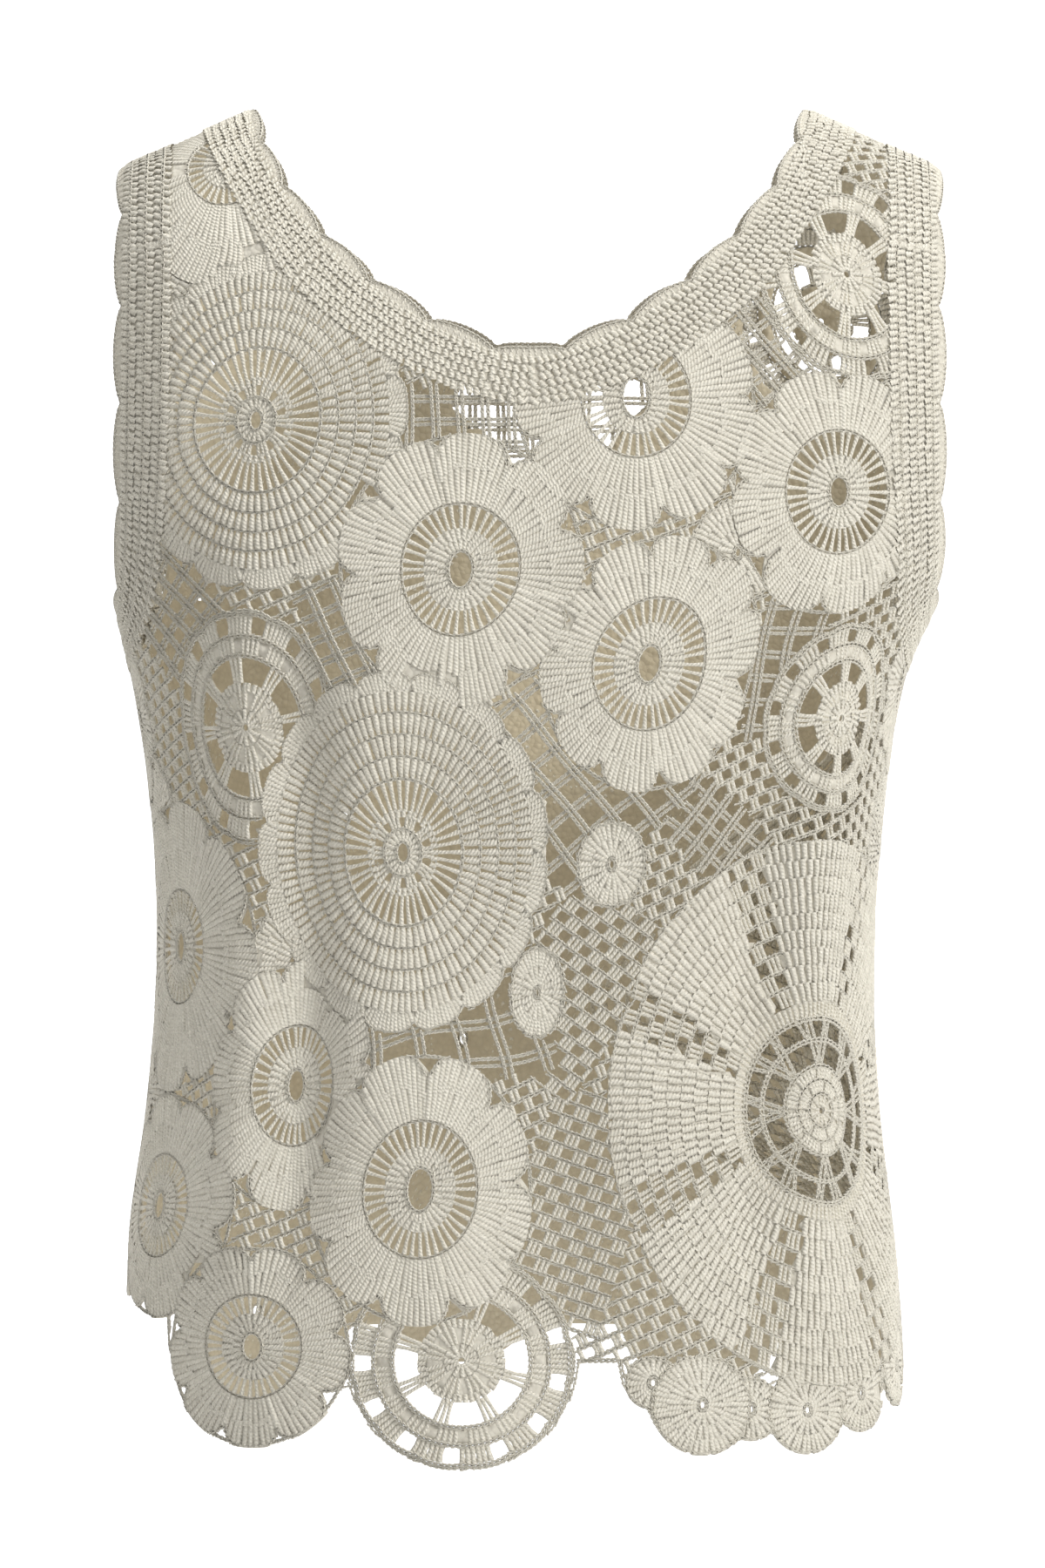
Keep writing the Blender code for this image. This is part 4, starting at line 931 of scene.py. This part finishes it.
def groundCottonPaintedShade(name, first, second):
    shader = Shader(name)
    spot = shader.node("ShaderNodeNewGeometry")[0]
    loops = shader.node("ShaderNodeTexVoronoi", None, {"Vector": spot, "Scale": 430.0})[0]
    broad = shader.noise(spot, 30.0, 3.0)
    # Painted shade: the colour goes from the first towards the second, darker colour at the edges of the Voronoi
    # loops, where the bump sinks.
    colour = shader.mix(loops * 0.7 + broad * 0.3, first, second)
    shader.feed(shader.surface, {"Base Color": colour, "Normal": shader.bump(0.9, loops * -0.0006),
                                 "Roughness": 0.92, "Specular IOR Level": 0.25})
    return shader.material


# The bands' yarn is the same cotton made 2% lighter: painted light.
yarnMaterials = {"front": [yarnCotton("frontYarn")], "back": [yarnCotton("backYarn")],
                 "band": [yarnCotton("bandYarnPaintedLight", 1.02)]}
# The second ground material, for the inner layer of every wall, is painted shade: the same cotton in a darker khaki,
# as it looks in shadow inside the garment.
groundMaterials = (groundCottonPaintedShade("groundCottonPaintedShade", cottonLook["under"], cottonLook["underShadeDeep"]),
                   groundCottonPaintedShade("insideCottonPaintedShade", cottonLook["inside"], cottonLook["insideShadeDeep"]))
print("cotton ready")


# The pieces

def finishPiece(piece, materials, slot):
    for material in materials:
        piece.data.materials.append(material)
    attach(piece, "root")
    return piece


wallLifts = (1.3, 0.3)          # of the outer and the inner layer
backingGrid = {"spacing": 6.0, "rowShare": 0.87}


def makeWall(name, side, flat, faces, slot):        # a thin wall of cloth: two layers joined round every edge
    count = len(flat)
    points = np.concatenate([form.place(side, flat, np.full(count, lift))[0] for lift in wallLifts])
    edges = {}
    for face in faces.tolist():
        for a, b in zip(face, face[1:] + face[:1]):
            if edges.pop((b, a), None) is None:
                edges[a, b] = True
    rims = [(b, a, a + count, b + count) for a, b in edges]
    outer = [tuple(face) for face in faces.tolist()]
    allFaces = outer + [tuple(k + count for k in face[::-1]) for face in outer] + rims
    if side == "back":
        allFaces = [face[::-1] for face in allFaces]
    mesh = bpy.data.meshes.new(name)
    mesh.from_pydata((points * mm).tolist(), [], allFaces)
    mesh.shade_smooth()
    # The inner layer takes the second material, the darker khaki inside cotton: painted shade.
    inner = np.zeros(len(allFaces), np.int32)
    inner[len(faces):2 * len(faces)] = 1
    mesh.polygons.foreach_set("material_index", inner)
    return finishPiece(placed(name, mesh), groundMaterials, slot)


def makeBacking(side):
    outline = outlines[side]
    points, edges = [], []

    def addLoop(loop):
        start = len(points)
        points.extend(map(tuple, loop))
        edges.extend((start + k, start + (k + 1) % len(loop)) for k in range(len(loop)))

    addLoop(outline)            # the edges that the faces have to follow
    for motif in motifs[side]:
        angle = evenRound(max(int(motif["radius"] * 2), 30))
        addLoop(at(motif, petalReach(motif, angle) - 0.8, angle))
        for radius in {r for pair in closeRounds(motif) for r in pair if r < motif["radius"]}:
            addLoop(at(motif, radius, evenRound(max(int(radius * 2.2), 14))))
    spacing, share = backingGrid["spacing"], backingGrid["rowShare"]
    for row in range(int((ridgeT - lowestZ) / (spacing * share)) + 1):
        u = np.arange(-int(seamU / spacing), int(seamU / spacing) + 1) * spacing + (row % 2) * spacing / 2
        points.extend((float(x), ridgeT - row * spacing * share) for x in u)
    flat, _, faces, _, _, _ = delaunay_2d_cdt([Vector(p) for p in points], edges, [], 0, 1e-3)
    flat = np.array([tuple(p) for p in flat])
    faces = np.array([tuple(f) for f in faces])
    middles = flat[faces].mean(axis=1)
    owner = ownerOf(side, middles)
    faces = faces[isBacked(side, middles, owner) & isInside(middles, outline)]
    used, faces = np.unique(faces, return_inverse=True)
    faces = faces.reshape(-1, 3)
    flat = flat[used]
    a, b, c = (flat[faces[:, k]] for k in range(3))
    area = np.abs(np.cross(b - a, c - a)).sum() / 2
    return makeWall(side + "Ground", side, flat, faces, side + "_cotton"), area * mm * mm


def belongs(side, path, number):        # whether each stitch lies in its own motif and inside the panel
    ends = path[:, (0, -1)].reshape(-1, 2).copy()
    ends[:, 0] = np.clip(ends[:, 0], -seamU + 0.1, seamU - 0.1)
    inside = isInside(ends, yarnOutlines[side]).reshape(-1, 2).all(axis=1)
    return inside & (ownerOf(side, path.mean(axis=1)) == number)


seeds = {"motifs": 11, "net": 5, "bands": 31}
sides = {}
for side in ("front", "back"):
    pieces = []
    for k, item in enumerate(motifs[side] + patches[side]):
        yarn = Yarn(side, lambda path, k=k: belongs(side, path, k), seed=seeds["motifs"] + k)
        makers[item["kind"]](yarn, item)
        if yarn.batches:
            pieces.append(finishPiece(spin([yarn], item["name"]), yarnMaterials[side], side + "_cotton"))
    net = Yarn(side, lambda path: belongs(side, path, -1), seed=seeds["net"])
    makeNet(net, side)
    net.keep = lambda path: ownerOf(side, path.mean(axis=1)) == -1
    net.chain(hemPath(side) + (0, 1.2), pitch=2.3, width=1.6, lift=1.7)
    pieces.append(finishPiece(spin([net], side + "Net"), yarnMaterials[side], side + "_cotton"))
    backing, backedArea = makeBacking(side)
    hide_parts(side + "_panel")
    sides[side] = {"backing": backing, "pieces": pieces, "area": backedArea,
                   "flat": (2 * seamU * mm, (ridgeT - hem[side] + hem["below"]) * mm)}
    print(side, "ready")


bandLook = {"pitch": 2.7, "rows": 6, "shellPosts": 11, "overlap": 2.5, "jitter": 0.22, "offsets": (-1, 0, 0.5, 1),
            "shellMarks": 16}


def shellReach(phase):
    return scallopHeight * np.abs(np.sin(math.pi * phase)) ** 0.6


def makeBand(name, runs, width, scallops, ridges, softness):
    yarns, stripPoints, stripFaces = [], [], []
    rows, offsets, marks = (bandLook[k] for k in ("rows", "offsets", "shellMarks"))
    for side, edge, length in runs:
        yarn = Yarn(side, seed=seeds["bands"])
        count = int(length / bandLook["pitch"])
        points, ways = edge(2 * count + 1)
        step = (width + bandLook["overlap"]) / rows
        feet, tops, feetWays, topWays = points[:-1:2], points[1::2], ways[:-1:2], ways[1::2]
        for row in range(rows):                     # slanted stitches, each row's feet between the last row's tops
            shift = yarn.rng.normal(0, bandLook["jitter"], (count, 2))
            yarn.posts(feet + feetWays * (row * step + 0.2) + shift, tops + topWays * ((row + 1) * step - 0.2) + shift,
                       lift=1.9, thick=1.3, arch=0.35, pinch=0.95, rise=softness, head=1.1)
        for row in ridges:
            yarn.chain(points + ways * row * step, pitch=2.7, width=1.5, thick=0.55, lift=2.2)
        fine, fineWays = edge(scallops * marks + 1)
        reach = shellReach(np.arange(scallops * marks + 1) / marks)
        for shell in range(scallops):
            share = (shell + np.linspace(0.06, 0.94, bandLook["shellPosts"])) * marks
            low = np.floor(share).astype(int)
            part = (share - low)[:, None]
            rim = fine[low] * (1 - part) + fine[low + 1] * part
            out = fineWays[low] * (1 - part) + fineWays[low + 1] * part
            far = shellReach(share / marks)
            yarn.posts(rim + out * 0.6, rim - out * (far - 0.6)[:, None], lift=1.3, thick=0.8)
        yarn.chain(fine - fineWays * (reach - 0.4)[:, None], pitch=2.3, width=1.4, thick=0.6, lift=1.6)
        yarns.append(yarn)
        base = sum(len(p) for p in stripPoints)
        for off in offsets:
            away = -reach + 0.6 if off < 0 else np.full_like(reach, off * width)
            stripPoints.append(form.place(side, fine + fineWays * away[:, None], np.full(len(fine), 1.7))[0])
        columns = len(fine)
        for row in range(len(offsets) - 1):
            here = base + row * columns + np.arange(columns - 1)
            stripFaces.append(np.stack((here, here + 1, here + columns + 1, here + columns), -1))
    # The band's strip under the stitches takes the darker ground cotton: painted shade between the stitches.
    backing = finishPiece(meshFrom(name + "Ground", np.concatenate(stripPoints), np.concatenate(stripFaces)),
                          groundMaterials[:1], "band_cotton")
    stitches = finishPiece(spin(yarns, name + "Stitches"), yarnMaterials["band"], "band_cotton")
    return backing, stitches, sum(run[2] for run in runs)


def armholeRun(sign):
    def edge(count):
        points, ways, _ = armholeStations(count)
        return points * (sign, 1), ways * (sign, 1)
    return edge


neckRuns = [(side, lambda count, side=side: neckStations(side, count)[:2], neckStations(side, 9)[2])
            for side in ("front", "back")]
leftRuns, rightRuns = ([(side, armholeRun(sign), armholeStations(9)[2]) for side in ("front", "back")]
                       for sign in (-1, 1))
for name, node, runs, size, ridges, softness in (
    ("neckBand", "neck_band", neckRuns, neck, (), 0.6),
    ("armholeLeft", "armhole_band_left", leftRuns, armhole, (1, 3, 5), 0.4),
    ("armholeRight", "armhole_band_right", rightRuns, armhole, (1, 3, 5), 0.4),
):
    backing, stitches, length = makeBand(name, runs, size["width"], size["scallops"], ridges, softness)
    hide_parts(node)
    length * mm
    (size["width"] + scallopHeight) * mm
    print(name, "ready")

for side, made in sides.items():
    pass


# Stage, light and camera

view = {"frame": (1200, 1800), "pixel": 0.36, "middleX": -3.0, "middleZ": -277.6, "distance": 5.0, "sensor": 24}
stageLook = {"floorZ": -1.30, "backY": 7.0, "frontY": -9.0, "halfWidth": 22.0, "top": 17.0, "bend": 0.9,
             "steps": 24, "white": (0.90, 0.90, 0.90, 1), "glow": 1.0}      # in metres, clear of a camera behind


def makeStage():
    steps, radius = stageLook["steps"], stageLook["bend"]
    profile = []
    for k in range(steps + 1):
        angle = -math.pi / 2 + k / steps * math.pi / 2
        profile.append((stageLook["backY"] - radius + radius * math.cos(angle),
                        stageLook["floorZ"] + radius + radius * math.sin(angle)))
    profile.append((stageLook["backY"], stageLook["top"]))
    for name, line, glow in (("floor", [(stageLook["frontY"], stageLook["floorZ"]), profile[0]], 0.0),
                             ("backdrop", profile, stageLook["glow"])):
        points = [(x, y, z) for y, z in line for x in (-stageLook["halfWidth"], stageLook["halfWidth"])]
        faces = [(2 * k, 2 * k + 1, 2 * k + 3, 2 * k + 2) for k in range(len(line) - 1)]
        mesh = bpy.data.meshes.new(name)
        mesh.from_pydata(points, [], faces)
        mesh.shade_smooth()
        shader = Shader(name + "White")
        shader.feed(shader.surface, {"Base Color": stageLook["white"], "Roughness": 1.0,
                                     "Emission Color": (1, 1, 1, 1), "Emission Strength": glow})
        mesh.materials.append(shader.material)
        placed(name, mesh)


def addLight(name, place, size, power, aim=(0, 0, -0.28)):
    light = bpy.data.lights.new(name, "AREA")
    light.shape, light.size, light.energy = "DISK", size, power
    lamp = placed(name, light)
    lamp.location = place
    lamp.rotation_euler = (Vector(aim) - Vector(place)).to_track_quat("-Z", "Y").to_euler()


makeStage()
addLight("key", (3.0, -2.0, 1.2), 1.0, 87)
addLight("fill", (-0.6, -3.4, 0.4), 1.6, 8)
addLight("left", (-1.8, -1.2, 3.0), 1.2, 5)
addLight("top", (0.2, 0.3, 2.2), 1.6, 12)
addLight("wash", (0.0, -0.2, 2.4), 3.0, 40, (0, 1.6, 0.2))
world = bpy.data.worlds.new("studio")
world.use_nodes = True
sky = world.node_tree.nodes["Background"].inputs
sky["Color"].default_value, sky["Strength"].default_value = (1, 1, 1, 1), 0.18
bpy.context.scene.world = world
bpy.context.scene.view_settings.view_transform = "Standard"

camera = placed("camera", bpy.data.cameras.new("camera"))
camera.location = (view["middleX"] * mm, -view["distance"], view["middleZ"] * mm)
camera.rotation_euler = (math.pi / 2, 0, 0)
camera.data.sensor_fit = "VERTICAL"
camera.data.sensor_height = view["sensor"]
camera.data.lens = view["sensor"] * view["distance"] / (view["frame"][1] * view["pixel"] * mm)
camera.data.clip_end = 50
bpy.context.scene.camera = camera
print("stage ready")
